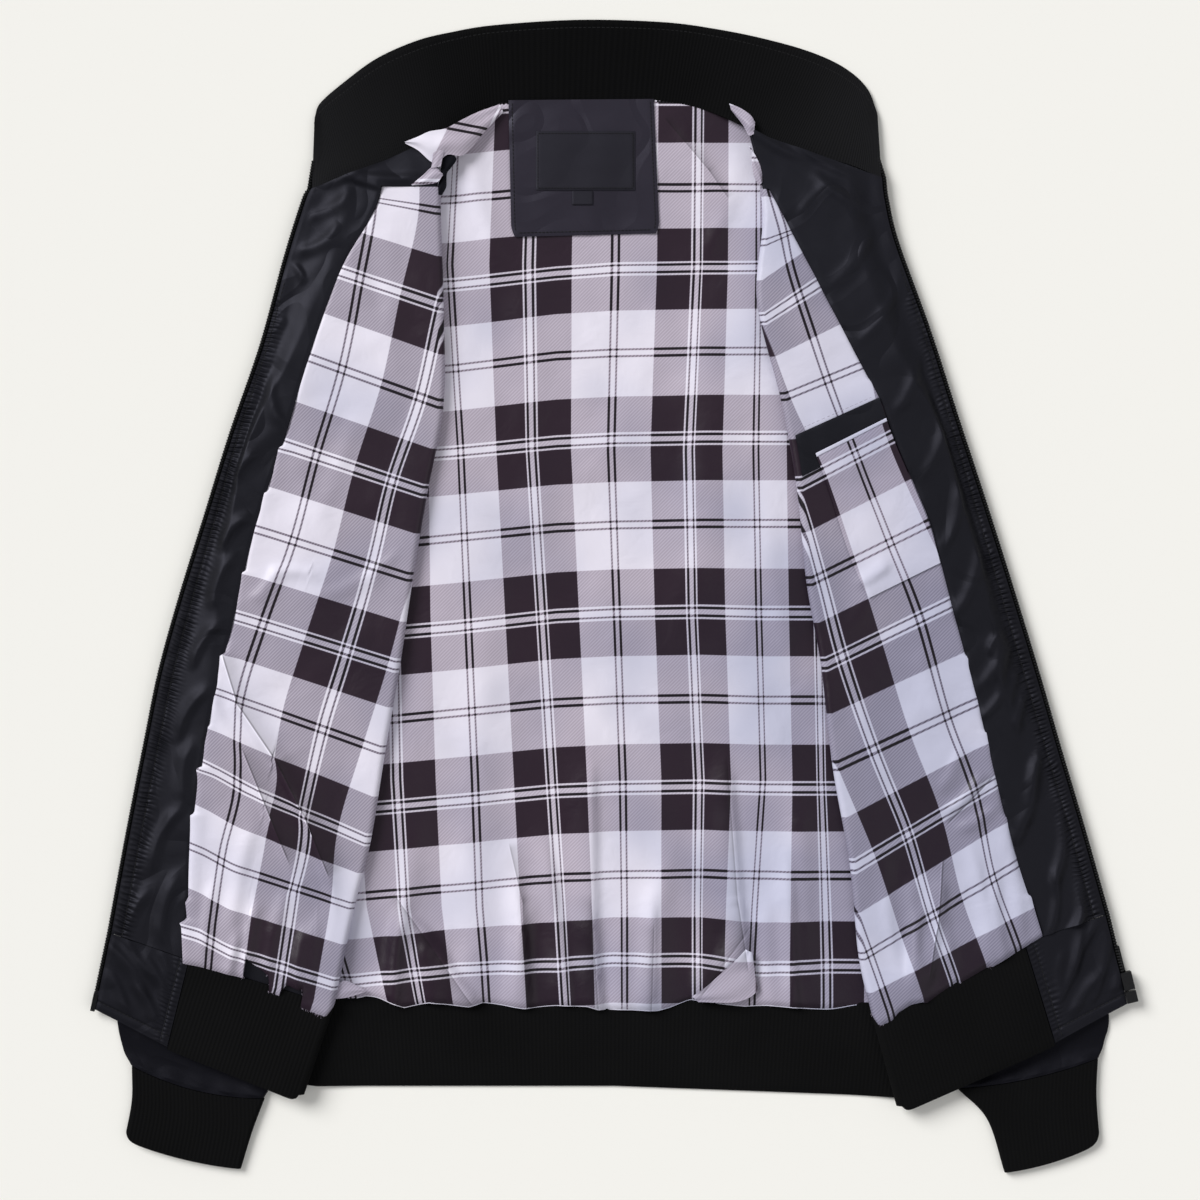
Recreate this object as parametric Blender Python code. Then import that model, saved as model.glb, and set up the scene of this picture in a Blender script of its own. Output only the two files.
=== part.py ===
"""A bomber jacket laid open on its back, seen from above.

The back rests on the surface with its lining up. Each front comes off the back's side seam,
runs inwards over the back, turns round at a soft fold and lies open with its lining up, out to
the zip. The sleeves lie flat beneath the sides. X is across the jacket, +Y points to the collar,
Z is up. Tables and sizes are in millimetres, and one scale at the end turns them into metres.
"""

import math
from collections import namedtuple

import bmesh
import bpy
import numpy as np

METRE = 0.001

# Cloth and the room between its layers
SHELL = 1.2
LINING = 1.0
GAP = 0.3
LAY = 0.8
STACK = SHELL + GAP + LINING
RIB = STACK
SEAM = GAP / 2

# Sleeves beneath the body
SLEEVE_WALL = 1.2
SLEEVE_HEIGHT = 2.8
BODY_LIFT = SLEEVE_HEIGHT + LAY
LIFT_RUN = 60
LIFT_MARGIN = 9
LIFT_TOP_Y = 262
LIFT_FADE_Y = 45

# Fold of each front, and the level that its free edge settles at
ROLL = 0.8
ROLL_RUN = 18
RETURN_TOP = 2 * STACK + LAY
EDGE_LEVEL = 4.4
DROP_START = 8
DROP_END = 12

# Rib knit
RIB_PITCH = 5.5
RIB_RIDGE = 0.5

# Zip
CHAIN_WIDTH = 3.0
CHAIN_LOW = 0.8
CHAIN_HIGH = 3.0
SLIDER_LENGTH = 12.5
SLIDER_INNER = -1.5
SLIDER_OUTER = 6.0
SLIDER_WEB = (1.8, 3.0)
WEB_SHORT = 0.2
PLATE_LOW = 1.4
PLATE_HIGH = 2.4
BAR_RADIUS = 0.5
BAR_LEVEL = -4.4
POST_INNER = 1.6
POST_OUTER = 2.4
POST_HALF = 0.9
POST_BELOW = 0.7
POST_ABOVE = 0.3
ROD_SIDES = 10
RING_RADIUS = 1.6
RING_BORE = 0.85
RING_HALF = 1.3
RING_WEB = 0.35
PULL_MIDDLE = -0.9
PULL_HALF = 2.3
PULL_NECK = (3.0, 3.4)
PULL_THICK = 1.2
BLADE_STEP = 0.05
PULL_LENGTH = 24
PULL_DROOP = 2
BOX_LENGTH = 7.9
PIN_LENGTH = 12

# Station numbers along each front: 0 is the neckline, and these are its seams
HEM = 10
HEM_BOTTOM = 11
HEM_SLIT = 0.003

Station = namedtuple("Station", "fold_x fold_y seam_x seam_y zip_x zip_y side_x side_y")
LEFT_FRONT = [
    Station(-123, 317, -159, 300, -212, 280, -166, 277),
    Station(-123, 262, -163, 270, -216, 273, -172, 250),
    Station(-121, 199, -189, 222, -228, 235, -192, 199),
    Station(-121, 132, -210, 164, -245, 173, -218, 132),
    Station(-132, 72, -228, 104, -266, 112, -248, 72),
    Station(-142, 13, -247, 46, -283, 57, -261, 13),
    Station(-151, -48, -261, -14, -301, -1, -270, -48),
    Station(-161, -106, -274, -66, -315, -52, -275, -106),
    Station(-171, -168, -284, -119, -325, -101, -272, -168),
    Station(-182, -213, -292, -177, -337, -162, -262, -215),
    Station(-196, -281, -293, -251, -350, -232, -250, -276),
    Station(-218, -346, -308, -311, -361, -284, -242, -334),
]
RIGHT_FRONT = [
    Station(94, 323, 106, 317, 188, 288, 142, 285),
    Station(106, 266, 120, 265, 190, 273, 152, 252),
    Station(102, 204, 136, 228, 197, 244, 168, 204),
    Station(118, 137, 174, 160, 219, 183, 192, 137),
    Station(129, 77, 192, 110, 238, 124, 224, 77),
    Station(136, 10, 217, 50, 257, 66, 243, 10),
    Station(146, -47, 232, -5, 276, 6, 258, -47),
    Station(154, -117, 250, -73, 294, -53, 266, -117),
    Station(166, -186, 263, -128, 309, -105, 270, -186),
    Station(172, -248, 278, -184, 325, -159, 266, -248),
    Station(181, -288, 295, -235, 342, -219, 259, -278),
    Station(199, -354, 304, -308, 357, -280, 250, -322),
]

# A sleeve's outer and inner edge, its height, and how far its middle bows down the sleeve
Girth = namedtuple("Girth", "outer_x outer_y inner_x inner_y height bow")
LEFT_SLEEVE = [
    Girth(-204, 255, -167, 247, 2.8, 0),
    Girth(-224, 222, -148, 204, 2.8, 0),
    Girth(-243, 170, -122, 142, 2.8, 0),
    Girth(-268, 84, -112, 48, 2.8, 0),
    Girth(-288, 8, -123, -30, 2.8, 0),
    Girth(-308, -74, -153, -110, 2.8, 0),
    Girth(-326, -156, -185, -188, 2.8, 0),
    Girth(-340, -234, -213, -263, 2.8, 0),
    Girth(-344, -286, -228, -313, 2.8, 0),
    Girth(-340, -312, -236, -336, 2.8, 2),
    Girth(-334, -324, -242, -347, 5.6, 6),
]
RIGHT_SLEEVE = [
    Girth(178, 258, 142, 249, 2.8, 0),
    Girth(196, 222, 121, 203, 2.8, 0),
    Girth(215, 170, 94, 139, 2.8, 0),
    Girth(242, 84, 86, 44, 2.8, 0),
    Girth(265, 8, 99, -34, 2.8, 0),
    Girth(287, -74, 132, -112, 2.8, 0),
    Girth(308, -156, 166, -190, 2.8, 0),
    Girth(327, -234, 199, -264, 2.8, 0),
    Girth(342, -286, 222, -313, 2.8, 0),
    Girth(339, -309, 232, -333, 2.8, 1),
    Girth(335, -319, 237, -340, 5.6, 4),
]
LEFT_CUFF = [
    Girth(-333.4, -325, -241.6, -347.5, 5.6, 6),
    Girth(-333.5, -349, -250, -370, 5.6, 4),
    Girth(-338.5, -376, -258, -396, 5.4, 3),
]
RIGHT_CUFF = [
    Girth(334.6, -319.6, 237.4, -340.6, 5.6, 4),
    Girth(333.6, -346, 258, -362, 5.6, 3.5),
    Girth(336, -378, 270, -398.6, 5.4, 3),
]

# The collar from its left end round to its right end: seam at the neck, and free edge
Band = namedtuple("Band", "neck_x neck_y neck_z edge_x edge_y edge_z")
COLLAR = [
    Band(-208.5, 282, 4.4, -207, 331, 1.5),
    Band(-190, 290, 5.2, -203, 341, 1.2),
    Band(-164, 299, 6.4, -186, 356, 0.6),
    Band(-146, 308, 7.2, -164, 372, 0),
    Band(-123, 319, 7.4, -137, 384, 0),
    Band(-103, 333, 3.4, -113, 390, 0),
    Band(-79, 342, 0, -82, 395, 0),
    Band(-26, 343, 0, -24, 398.6, 0),
    Band(28, 344, 0, 34, 397, 0),
    Band(59, 340, 0.6, 72, 392, 0),
    Band(90, 327, 5.6, 106, 385, 0),
    Band(111, 316, 7.2, 137, 376, 0),
    Band(134, 308, 6.6, 160, 365, 0.4),
    Band(163, 300, 5.4, 175, 351, 1.2),
    Band(184.5, 290.5, 4.4, 182, 334, 1.5),
]

# The back's neck and shoulder line, and its hem seam and lower edge
Edge = namedtuple("Edge", "x y")
NECKLINE = [
    Edge(-166, 277), Edge(-145, 297), Edge(-123, 317), Edge(-100, 332), Edge(-79, 341.5),
    Edge(-26, 342.5), Edge(28, 343.5), Edge(60, 339), Edge(94, 323), Edge(118, 303),
    Edge(142, 285),
]
HEM_SEAM = [Edge(-250, -276), Edge(-200, -277), Edge(0, -279), Edge(182, -281), Edge(259, -278)]
HEM_EDGE = [
    Edge(-242, -334), Edge(-205, -339), Edge(0, -339), Edge(160, -345), Edge(195, -347),
    Edge(250, -322),
]

# Soft folds in the linings and facings: a ridge from one point to another
Fold = namedtuple("Fold", "x1 y1 x2 y2 width height")
BACK_FOLDS = [
    Fold(-18, -120, -20, -285, 16, 3.2),
    Fold(78, -90, 86, -285, 15, 2.8),
    Fold(-88, -20, -96, -285, 17, 2.0),
    Fold(38, -170, 30, -285, 13, 1.8),
    Fold(128, -150, 132, -285, 14, 2.0),
    Fold(-140, -170, -150, -285, 14, 1.8),
    Fold(56, 288, 92, 248, 8, 1.6),
    Fold(-58, 190, -50, 20, 16, 1.2),
    Fold(62, 190, 56, 10, 17, 1.2),
]
FRONT_FOLDS = [
    Fold(-266, -42, -232, -112, 9, 3.6),
    Fold(-232, -112, -190, -205, 11, 3.0),
    Fold(-258, 24, -175, -10, 9, 1.8),
    Fold(-250, -160, -262, -245, 9, 2.0),
    Fold(-225, 225, -178, 262, 10, 2.4),
    Fold(-246, 150, -222, 185, 8, 1.8),
    Fold(-330, -178, -306, -236, 10, 2.0),
    Fold(-345, -240, -322, -288, 10, 1.8),
    Fold(190, 238, 148, 274, 10, 2.4),
    Fold(214, 170, 186, 214, 8, 1.8),
    Fold(240, -120, 262, -215, 10, 2.2),
    Fold(210, -175, 222, -265, 10, 2.0),
    Fold(330, -195, 322, -262, 9, 1.8),
]
BLOUSE = 2.0
BLOUSE_START = 9
HEM_OVERHANG = 0.09
SCALLOP = 0.03
SCALLOP_RISE = 1.0

# How far the neckline and the hem bend the back's rows, and how far a front's fold covers it
NECK_REACH = 4.5
HEM_REACH = 6
FOLD_COVER = 8
FOLD_FADE = 30

# Neck patch with its bare label and size tab: corners left top, right top, left low, right low
PATCH_CORNERS = [(-73, 340), (27.5, 341), (-71, 248), (31.5, 250.5)]
LABEL_CORNERS = [(-54, 321), (14.5, 321), (-54, 280), (14.5, 280)]
TAB_CORNERS = [(-29, 279.5), (-14.5, 279.5), (-29, 270), (-14.5, 270)]
PATCH_PARTS = (0, 0.25, 0.5, 0.75, 1)
PATCH_GAP = 0.5

# Inside pocket on the right front: its band, and the patch that hangs over the band's edge.
# Rows are stations, starts are distances from the fold.
BAND_ROWS = (3.45, 3.93)
BAND_STARTS = (1, 1)
BAND_GAP = 0.5
POCKET_ROWS = (3.78, 5.5)
POCKET_STARTS = (13, 38)
POCKET_INSET = 0.8
POCKET_PARTS = (0, 0.12, 0.28, 0.46, 0.64, 0.82, 1)
BAND_COVERED = 0.12
BAND_STEP = 0.2

# Lining pinched up at each end of the back neck, from the neck out to the tip
Pinch = namedtuple("Pinch", "upper_x upper_y lower_x lower_y z")
LEFT_TUCK = [
    Pinch(-79, 339.5, -76.5, 334, 3.9),
    Pinch(-94, 333.5, -87.5, 322, 6.9),
    Pinch(-106, 327, -103, 304, 10.4),
    Pinch(-116, 321.5, -114.5, 303.5, 11.6),
    Pinch(-127, 319.5, -123.5, 297.5, 11.6),
    Pinch(-135, 316, -135, 306.5, 11.4),
    Pinch(-144, 312.5, -143.5, 311, 11.2),
]
RIGHT_TUCK = [
    Pinch(79.5, 339.5, 80.5, 335, 7.4),
    Pinch(87.5, 335.5, 88.5, 324.5, 9.6),
    Pinch(94, 330.5, 92.5, 317, 11.6),
    Pinch(97, 326, 96, 317.5, 11.4),
]
TUCK_THICK = 1.6
TUCK_CROWN = 1.2

# Collar: where its stitch line runs from seam to edge, and how thin its rim is
STITCH_PART = 0.9
RIM_LOW = 0.3
RIM_HIGH = RIB - 0.5

# Stations of the zip's ends and of the pieces on it
LEFT_CHAIN_END = 10.8
RIGHT_CHAIN_END = 10.868
SLIDER_PLACE = 10.763
BOX_PLACE = 10.942
PIN_PLACE = 10.924
FRAME_STEP = 0.05


def smooth(value):
    """0 to 1 with a soft start and end."""
    value = min(max(value, 0.0), 1.0)
    return value * value * (3 - 2 * value)


def through(table, place):
    """The table's columns at a fractional row, on a curve through the rows."""
    rows = np.array(table, float)
    row = min(max(int(math.floor(place)), 0), len(rows) - 2)
    part = place - row
    before = rows[row - 1] if row > 0 else 2 * rows[0] - rows[1]
    after = rows[row + 2] if row + 2 < len(rows) else 2 * rows[-1] - rows[-2]
    start, end = rows[row], rows[row + 1]
    leave, arrive = (end - before) / 2, (after - start) / 2
    part2, part3 = part * part, part ** 3
    return (
        (2 * part3 - 3 * part2 + 1) * start + (part3 - 2 * part2 + part) * leave
        + (3 * part2 - 2 * part3) * end + (part3 - part2) * arrive
    )


def height_at(edges, x):
    """y of a line that is given from left to right."""
    return float(np.interp(x, [edge.x for edge in edges], [edge.y for edge in edges]))


def ridges(folds, x, y):
    """How far the soft folds raise the cloth at a point."""
    raised = 0.0
    for fold in folds:
        run_x, run_y = fold.x2 - fold.x1, fold.y2 - fold.y1
        length2 = run_x * run_x + run_y * run_y
        along = ((x - fold.x1) * run_x + (y - fold.y1) * run_y) / length2
        across = abs((x - fold.x1) * run_y - (y - fold.y1) * run_x) / math.sqrt(length2)
        ends = smooth((along + 0.3) / 0.5) * smooth((1.3 - along) / 0.5)
        raised = max(raised, fold.height * ends * math.exp(-((across / fold.width) ** 2)))
    return raised


def lift(x, y):
    """How far the sleeves beneath hold the body off the surface."""
    sleeve, side = (LEFT_SLEEVE, -1) if x < 0 else (RIGHT_SLEEVE, 1)
    rows = sorted(sleeve, key=lambda girth: girth.inner_y)
    inner = np.interp(y, [girth.inner_y for girth in rows], [girth.inner_x for girth in rows])
    over = 1 - (side * (inner - x) - LIFT_MARGIN) / LIFT_RUN
    return BODY_LIFT * smooth(over) * smooth((LIFT_TOP_Y + LIFT_FADE_Y - y) / LIFT_FADE_Y)


class Front:
    """One front: rows are stations down its length, and w runs in mm from its fold."""

    def __init__(self, stations):
        self.stations = stations

    def row(self, place):
        """The station at a fractional number: a curve down to the hem, then straight."""
        if place <= HEM:
            return Station(*through(self.stations[:HEM + 1], place))
        seam, edge = np.array(self.stations[HEM:], float)
        return Station(*(seam + (edge - seam) * (place - HEM)))

    def seam_at(self, place):
        row = self.row(place)
        return math.hypot(row.seam_x - row.fold_x, row.seam_y - row.fold_y)

    def zip_at(self, place):
        row = self.row(place)
        return self.seam_at(place) + math.hypot(row.zip_x - row.seam_x, row.zip_y - row.seam_y)

    def side_at(self, place):
        row = self.row(place)
        return math.hypot(row.side_x - row.fold_x, row.side_y - row.fold_y)

    def roll(self, w):
        """Half the room inside the fold."""
        return LAY / 2 + ROLL * math.exp(-((w / ROLL_RUN) ** 2))

    def turned(self, place, w, above, soft=0.0):
        """A point of the turned part, above the shell's face that looks down."""
        row = self.row(place)
        seam = self.seam_at(place)
        if w <= seam:
            part = w / seam
            x = row.fold_x + (row.seam_x - row.fold_x) * part
            y = row.fold_y + (row.seam_y - row.fold_y) * part
        else:
            part = (w - seam) / (self.zip_at(place) - seam)
            x = row.seam_x + (row.zip_x - row.seam_x) * part
            y = row.seam_y + (row.zip_y - row.seam_y) * part
        start = self.side_at(place) + DROP_START
        drop = smooth((w - start) / (self.zip_at(place) - DROP_END - start))
        laid = lift(x, y) + RETURN_TOP + 2 * self.roll(w)
        return x, y, laid + (EDGE_LEVEL - laid) * drop + above + soft * ridges(FRONT_FOLDS, x, y)

    def round_fold(self, place, angle, above):
        """A point round the fold: -90 meets the tucked part and 90 meets the turned part."""
        row = self.row(place)
        inwards = 1 if row.fold_x < 0 else -1
        radius = self.roll(0) + above
        turn = math.radians(angle)
        centre = lift(row.fold_x, row.fold_y) + RETURN_TOP + self.roll(0)
        return (
            row.fold_x + inwards * radius * math.cos(turn),
            row.fold_y,
            centre + radius * math.sin(turn),
        )

    def tucked(self, place, w, above):
        """A point of the part that lies face up between the fold and the side seam."""
        row = self.row(place)
        part = w / self.side_at(place)
        x = row.fold_x + (row.side_x - row.fold_x) * part
        y = row.fold_y + (row.side_y - row.fold_y) * part
        return x, y, lift(x, y) + RETURN_TOP - above

    def round_side(self, place, angle, above):
        """A point of the curl at the side seam: 90 meets the tucked part, -90 the back."""
        row = self.row(place)
        outwards = -1 if row.fold_x < 0 else 1
        radius = RETURN_TOP / 2 - above
        turn = math.radians(angle)
        centre = lift(row.side_x, row.side_y) + RETURN_TOP / 2
        return (
            row.side_x + outwards * radius * math.cos(turn),
            row.side_y,
            centre + radius * math.sin(turn),
        )


FRONTS = {"left": Front(LEFT_FRONT), "right": Front(RIGHT_FRONT)}

# Rows that the pieces of the body share, and the angles round a fold and a side seam
BODY_ROWS = [0, 0.65, 1.3, 2, 3, 4, 5, 6, 7, 7.8, 8.6, 9.3, 9.7]
LAST_ROW = HEM - HEM_SLIT
RIB_TOP = HEM + HEM_SLIT
FOLD_ANGLES = [-54, -18, 18, 54]
SIDE_ANGLES = [4, 45]
TUCKED_PARTS = [1.0, 0.75, 0.5, 0.25, 0.0]
LINING_PARTS = [0, 0.14, 0.3, 0.46, 0.62, 0.78, 0.9, 1]
FACING_PARTS = [0, 0.35, 0.7, 1]
MIDDLE_COLUMNS = 15
HIDDEN_COLUMNS = 4
SLEEVE_ROWS = [0, 1, 2, 3, 4, 5.5, 7, 8, 9, 9.5, 10]
SLEEVE_ACROSS = 8


def material(name, colour, roughness, metallic=0.0):
    made = bpy.data.materials.new(name)
    made.use_nodes = True
    surface = made.node_tree.nodes["Principled BSDF"]
    surface.inputs["Base Color"].default_value = (*colour, 1)
    surface.inputs["Roughness"].default_value = roughness
    surface.inputs["Metallic"].default_value = metallic
    made.diffuse_color = (*colour, 1)
    return made


NYLON = ((0.017, 0.017, 0.022), 0.42)
KNIT = ((0.006, 0.006, 0.006), 0.9)
CHECK = ((0.45, 0.41, 0.48), 0.5)
BLACK_METAL = ((0.02, 0.02, 0.022), 0.35, 0.9)
BLACK_TEETH = ((0.01, 0.01, 0.011), 0.4)


def node(name, points, faces, finish):
    """One closed piece as an object of its own."""
    mesh = bpy.data.meshes.new(name)
    mesh.from_pydata([tuple(METRE * value for value in point) for point in points], [], faces)
    mesh.materials.append(material(name, *finish))
    shape = bmesh.new()
    shape.from_mesh(mesh)
    bmesh.ops.recalc_face_normals(shape, faces=shape.faces)
    shape.to_mesh(mesh)
    shape.free()
    mesh.shade_smooth()
    mesh.set_sharp_from_angle(angle=math.radians(40))
    made = bpy.data.objects.new(name, mesh)
    bpy.context.scene.collection.objects.link(made)
    return made


def wall(name, lower, upper, finish, closed=False, keep=None):
    """A wall between two grids of points, or round a tube when its rows are closed.

    keep, where it is given, says for a cell's row and column whether the wall has that cell.
    """
    rows, columns = len(lower), len(lower[0])
    points = [point for grid in (lower, upper) for row in grid for point in row]
    top = rows * columns
    faces = []
    rims = {}
    for row in range(rows - 1):
        for column in range(columns if closed else columns - 1):
            if keep and not keep(row, column):
                continue
            near, far = row * columns + column, (row + 1) * columns + column
            turn = 1 - columns if column == columns - 1 else 1
            a, b, c, d = near, near + turn, far + turn, far
            faces += [[a, b, c, d], [top + a, top + d, top + c, top + b]]
            for start, end in ((a, b), (b, c), (c, d), (d, a)):
                if (end, start) in rims:
                    del rims[end, start]
                else:
                    rims[start, end] = [end, start, top + start, top + end]
    used = sorted({corner for face in [*faces, *rims.values()] for corner in face})
    place = {corner: number for number, corner in enumerate(used)}
    faces = [[place[corner] for corner in face] for face in [*faces, *rims.values()]]
    return node(name, [points[corner] for corner in used], faces, finish)


def front_shell(name, front):
    """The nylon outside of a front, from the side seam round the fold to the zip."""
    grids = []
    for above in (0, SHELL):
        grid = []
        for place in [*BODY_ROWS, LAST_ROW]:
            seam, edge = front.seam_at(place), front.zip_at(place) - CHAIN_WIDTH - GAP
            row = [front.round_side(place, angle, above) for angle in SIDE_ANGLES]
            row += [front.tucked(place, part * front.side_at(place), above) for part in TUCKED_PARTS]
            row += [front.round_fold(place, angle, above) for angle in FOLD_ANGLES]
            row += [front.turned(place, part * seam, above) for part in LINING_PARTS]
            widths = [seam + part * (edge - seam) for part in FACING_PARTS[1:]]
            row += [front.turned(place, width, above) for width in widths]
            grid.append(row)
        grids.append(grid)
    return wall(name, *grids, NYLON)


def blouse(place):
    """How far a lining stands off just above the hem seam, where it hangs over the rib."""
    return BLOUSE * smooth((place - BLOUSE_START) / (HEM - BLOUSE_START - 0.1))


def scallop(place, column):
    """The gathers along a lining's lower edge: every second column hangs lower and stands up."""
    depth = smooth((place - BLOUSE_START - 0.5) / (HEM - BLOUSE_START - 0.5))
    return depth * (1 if column % 2 else -1)


def front_lining(name, front):
    """The checked lining on that shell, from the side seam to the facing."""
    grids = []
    for above in (SHELL + GAP, STACK):
        grid = []
        for place in [*BODY_ROWS[1:], HEM + HEM_OVERHANG]:
            hidden = min(place, LAST_ROW)
            full = blouse(hidden)
            seam = front.seam_at(place) - SEAM
            row = [front.tucked(hidden, part * front.side_at(hidden), above) for part in TUCKED_PARTS]
            for angle in FOLD_ANGLES:
                row.append(front.round_fold(hidden, angle, above + full * (angle + 90) / 180))
            row.append(front.turned(hidden, 0, above + full))
            for column, part in enumerate(LINING_PARTS[1:], 1):
                wave = scallop(place, column)
                at = place + (SCALLOP * wave if place > HEM else 0)
                raised = max(wave, 0) * SCALLOP_RISE
                row.append(front.turned(at, part * seam, above + full + raised, soft=1))
            grid.append(row)
        grids.append(grid)
    return wall(name, *grids, CHECK)


def front_facing(name, front):
    """The nylon facing: a strip down the zip, and an upper end along the neckline."""
    grids = []
    for above in (SHELL + GAP, STACK):
        grid = []
        for place in [*BODY_ROWS, LAST_ROW]:
            start, edge = front.seam_at(place) + SEAM, front.zip_at(place) - CHAIN_WIDTH - GAP
            widths = [part * start for part in LINING_PARTS]
            widths += [start + part * (edge - start) for part in FACING_PARTS[1:]]
            place -= HEM_SLIT if place == BODY_ROWS[1] else 0
            grid.append([front.turned(place, width, above, soft=1) for width in widths])
        grids.append(grid)
    strip = len(LINING_PARTS) - 1
    return wall(name, *grids, NYLON, keep=lambda row, column: row == 0 or column >= strip)


def ribbed(count, ridge):
    """Parts 0 to 1 across a rib knit, and how far each is raised: grooves and ridges in turn."""
    return [(step / (2 * count), ridge * (step % 2)) for step in range(2 * count + 1)]


def front_rib(name, front):
    """The rib knit hem of a front, ribbed where it shows."""
    length = front.seam_at(HEM) - SEAM
    ribs = ribbed(round(length / RIB_PITCH), RIB_RIDGE)
    grids = []
    for above in (0, RIB):
        grid = []
        for place in (RIB_TOP, HEM_BOTTOM):
            width = front.seam_at(place) - SEAM
            row = [front.round_side(place, angle, above) for angle in SIDE_ANGLES]
            row += [front.tucked(place, part * front.side_at(place), above) for part in TUCKED_PARTS]
            row += [front.round_fold(place, angle, above) for angle in FOLD_ANGLES]
            for part, ridge in ribs:
                row.append(front.turned(place, part * width, above + (ridge if above else 0)))
            grid.append(row)
        grids.append(grid)
    return wall(name, *grids, KNIT)


def hem_block(name, front):
    """The nylon block that ends the hem at the zip."""
    grids = []
    for above in (0, RIB):
        grid = []
        for place in (RIB_TOP, HEM_BOTTOM):
            start, edge = front.seam_at(place) + SEAM, front.zip_at(place) - CHAIN_WIDTH - GAP
            grid.append([
                front.turned(place, start + part * (edge - start), above, soft=1 if above else 0)
                for part in FACING_PARTS
            ])
        grids.append(grid)
    return wall(name, *grids, NYLON)


def back_columns(place):
    """x of the back's columns in a row: side to side, with a column at each front's fold."""
    left, right = (front.row(place) for front in FRONTS.values())
    middle = np.linspace(left.fold_x, right.fold_x, MIDDLE_COLUMNS)
    return [
        *np.linspace(left.side_x, left.fold_x, HIDDEN_COLUMNS + 1)[:-1],
        *middle,
        *np.linspace(right.fold_x, right.side_x, HIDDEN_COLUMNS + 1)[1:],
    ]


def across_sides(place, x):
    """y at x on the straight line from one side seam to the other."""
    left, right = (front.row(place) for front in FRONTS.values())
    return height_at([Edge(left.side_x, left.side_y), Edge(right.side_x, right.side_y)], x)


def back_y(place, x):
    """y of a back row: level rows that bend into the neckline above and the hem below."""
    if place > HEM:
        part = (place - HEM) / (HEM_BOTTOM - HEM)
        return height_at(HEM_SEAM, x) * (1 - part) + height_at(HEM_EDGE, x) * part
    crown = (height_at(NECKLINE, x) - across_sides(0, x)) * (1 - smooth(place / NECK_REACH))
    hang = (height_at(HEM_SEAM, x) - across_sides(HEM, x)) * smooth(
        (place - HEM_REACH) / (HEM - HEM_REACH)
    )
    return across_sides(place, x) + crown + hang


def shown(place, x):
    """1 where the back shows between the folds, 0 under the fronts."""
    left, right = (front.row(place) for front in FRONTS.values())
    inside = min(x - left.fold_x, right.fold_x - x)
    return smooth((inside - FOLD_COVER) / FOLD_FADE)


def curled(row, place, above):
    """A back row with the curls that meet the fronts at its ends."""
    left, right = (
        [front.round_side(place, -angle, above) for angle in SIDE_ANGLES]
        for front in FRONTS.values()
    )
    return left + row + right[::-1]


def back_wall(name, low, high, rows, finish, soft, curl):
    """A layer of the back. curl adds the rounded edges that meet the fronts' shells."""
    grids = []
    for above in (low, high):
        grid = []
        for place in rows:
            hidden = min(place, LAST_ROW) if soft else place
            row = []
            for column, x in enumerate(back_columns(hidden)):
                open_here = shown(hidden, x)
                wave = scallop(place, column) if soft and open_here == 1 else 0
                at = place if open_here == 1 else hidden
                y = back_y(at + (SCALLOP * wave if at > HEM else 0), x)
                raised = 0.0
                if soft:
                    folds = ridges(BACK_FOLDS, x, y) * smooth(place / 0.6)
                    raised = open_here * (folds + blouse(hidden)) + max(wave, 0) * SCALLOP_RISE
                row.append((x, y, lift(x, y) + above + raised))
            grid.append(curled(row, place, above) if curl else row)
        grids.append(grid)
    return wall(name, *grids, finish)


def back_rib(name):
    """The rib knit hem of the back, ribbed where it shows between the fronts."""
    seam_left, seam_right = (front.row(HEM).fold_x for front in FRONTS.values())
    ribs = ribbed(round((seam_right - seam_left) / RIB_PITCH), RIB_RIDGE)
    grids = []
    for above in (0, RIB):
        grid = []
        for place in (RIB_TOP, HEM_BOTTOM):
            left, right = (front.row(place) for front in FRONTS.values())
            width = right.fold_x - left.fold_x
            columns = [(x, 0) for x in np.linspace(left.side_x, left.fold_x, HIDDEN_COLUMNS)[:-1]]
            columns += [(left.fold_x + part * width, ridge) for part, ridge in ribs]
            columns += [(x, 0) for x in np.linspace(right.fold_x, right.side_x, HIDDEN_COLUMNS)[1:]]
            row = []
            for x, ridge in columns:
                y = back_y(place, x)
                raised = ridge * shown(place, x) if above else 0
                row.append((x, y, lift(x, y) + above + raised))
            grid.append(curled(row, place, above))
        grids.append(grid)
    return wall(name, *grids, KNIT)


def flat_ring(girth, inside, across, ridge=0.0):
    """A closed section of a flattened tube. inside is the depth below its outer face."""
    half = girth.height / 2
    radius = half - inside
    outer = np.array([girth.outer_x, girth.outer_y])
    inner = np.array([girth.inner_x, girth.inner_y])
    way = (inner - outer) / np.linalg.norm(inner - outer)
    down = np.array([way[1], -way[0]]) * (1 if way[0] > 0 else -1)
    start, end = outer + way * half, inner - way * half

    def on_line(part):
        return start + (end - start) * part + down * girth.bow * 4 * part * (1 - part)

    ring = []
    for turn in np.radians((-90, -45, 0, 45, 90)):
        ring.append((*(start - way * radius * math.cos(turn)), half + radius * math.sin(turn)))
    for step in range(1, across):
        raised = ridge * (step % 2) if inside == 0 else 0
        ring.append((*on_line(step / across), half + radius + raised))
    for turn in np.radians((90, 45, 0, -45, -90)):
        ring.append((*(end + way * radius * math.cos(turn)), half + radius * math.sin(turn)))
    for step in range(across // 2 - 1, 0, -1):
        ring.append((*on_line(2 * step / across), half - radius))
    return ring


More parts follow.
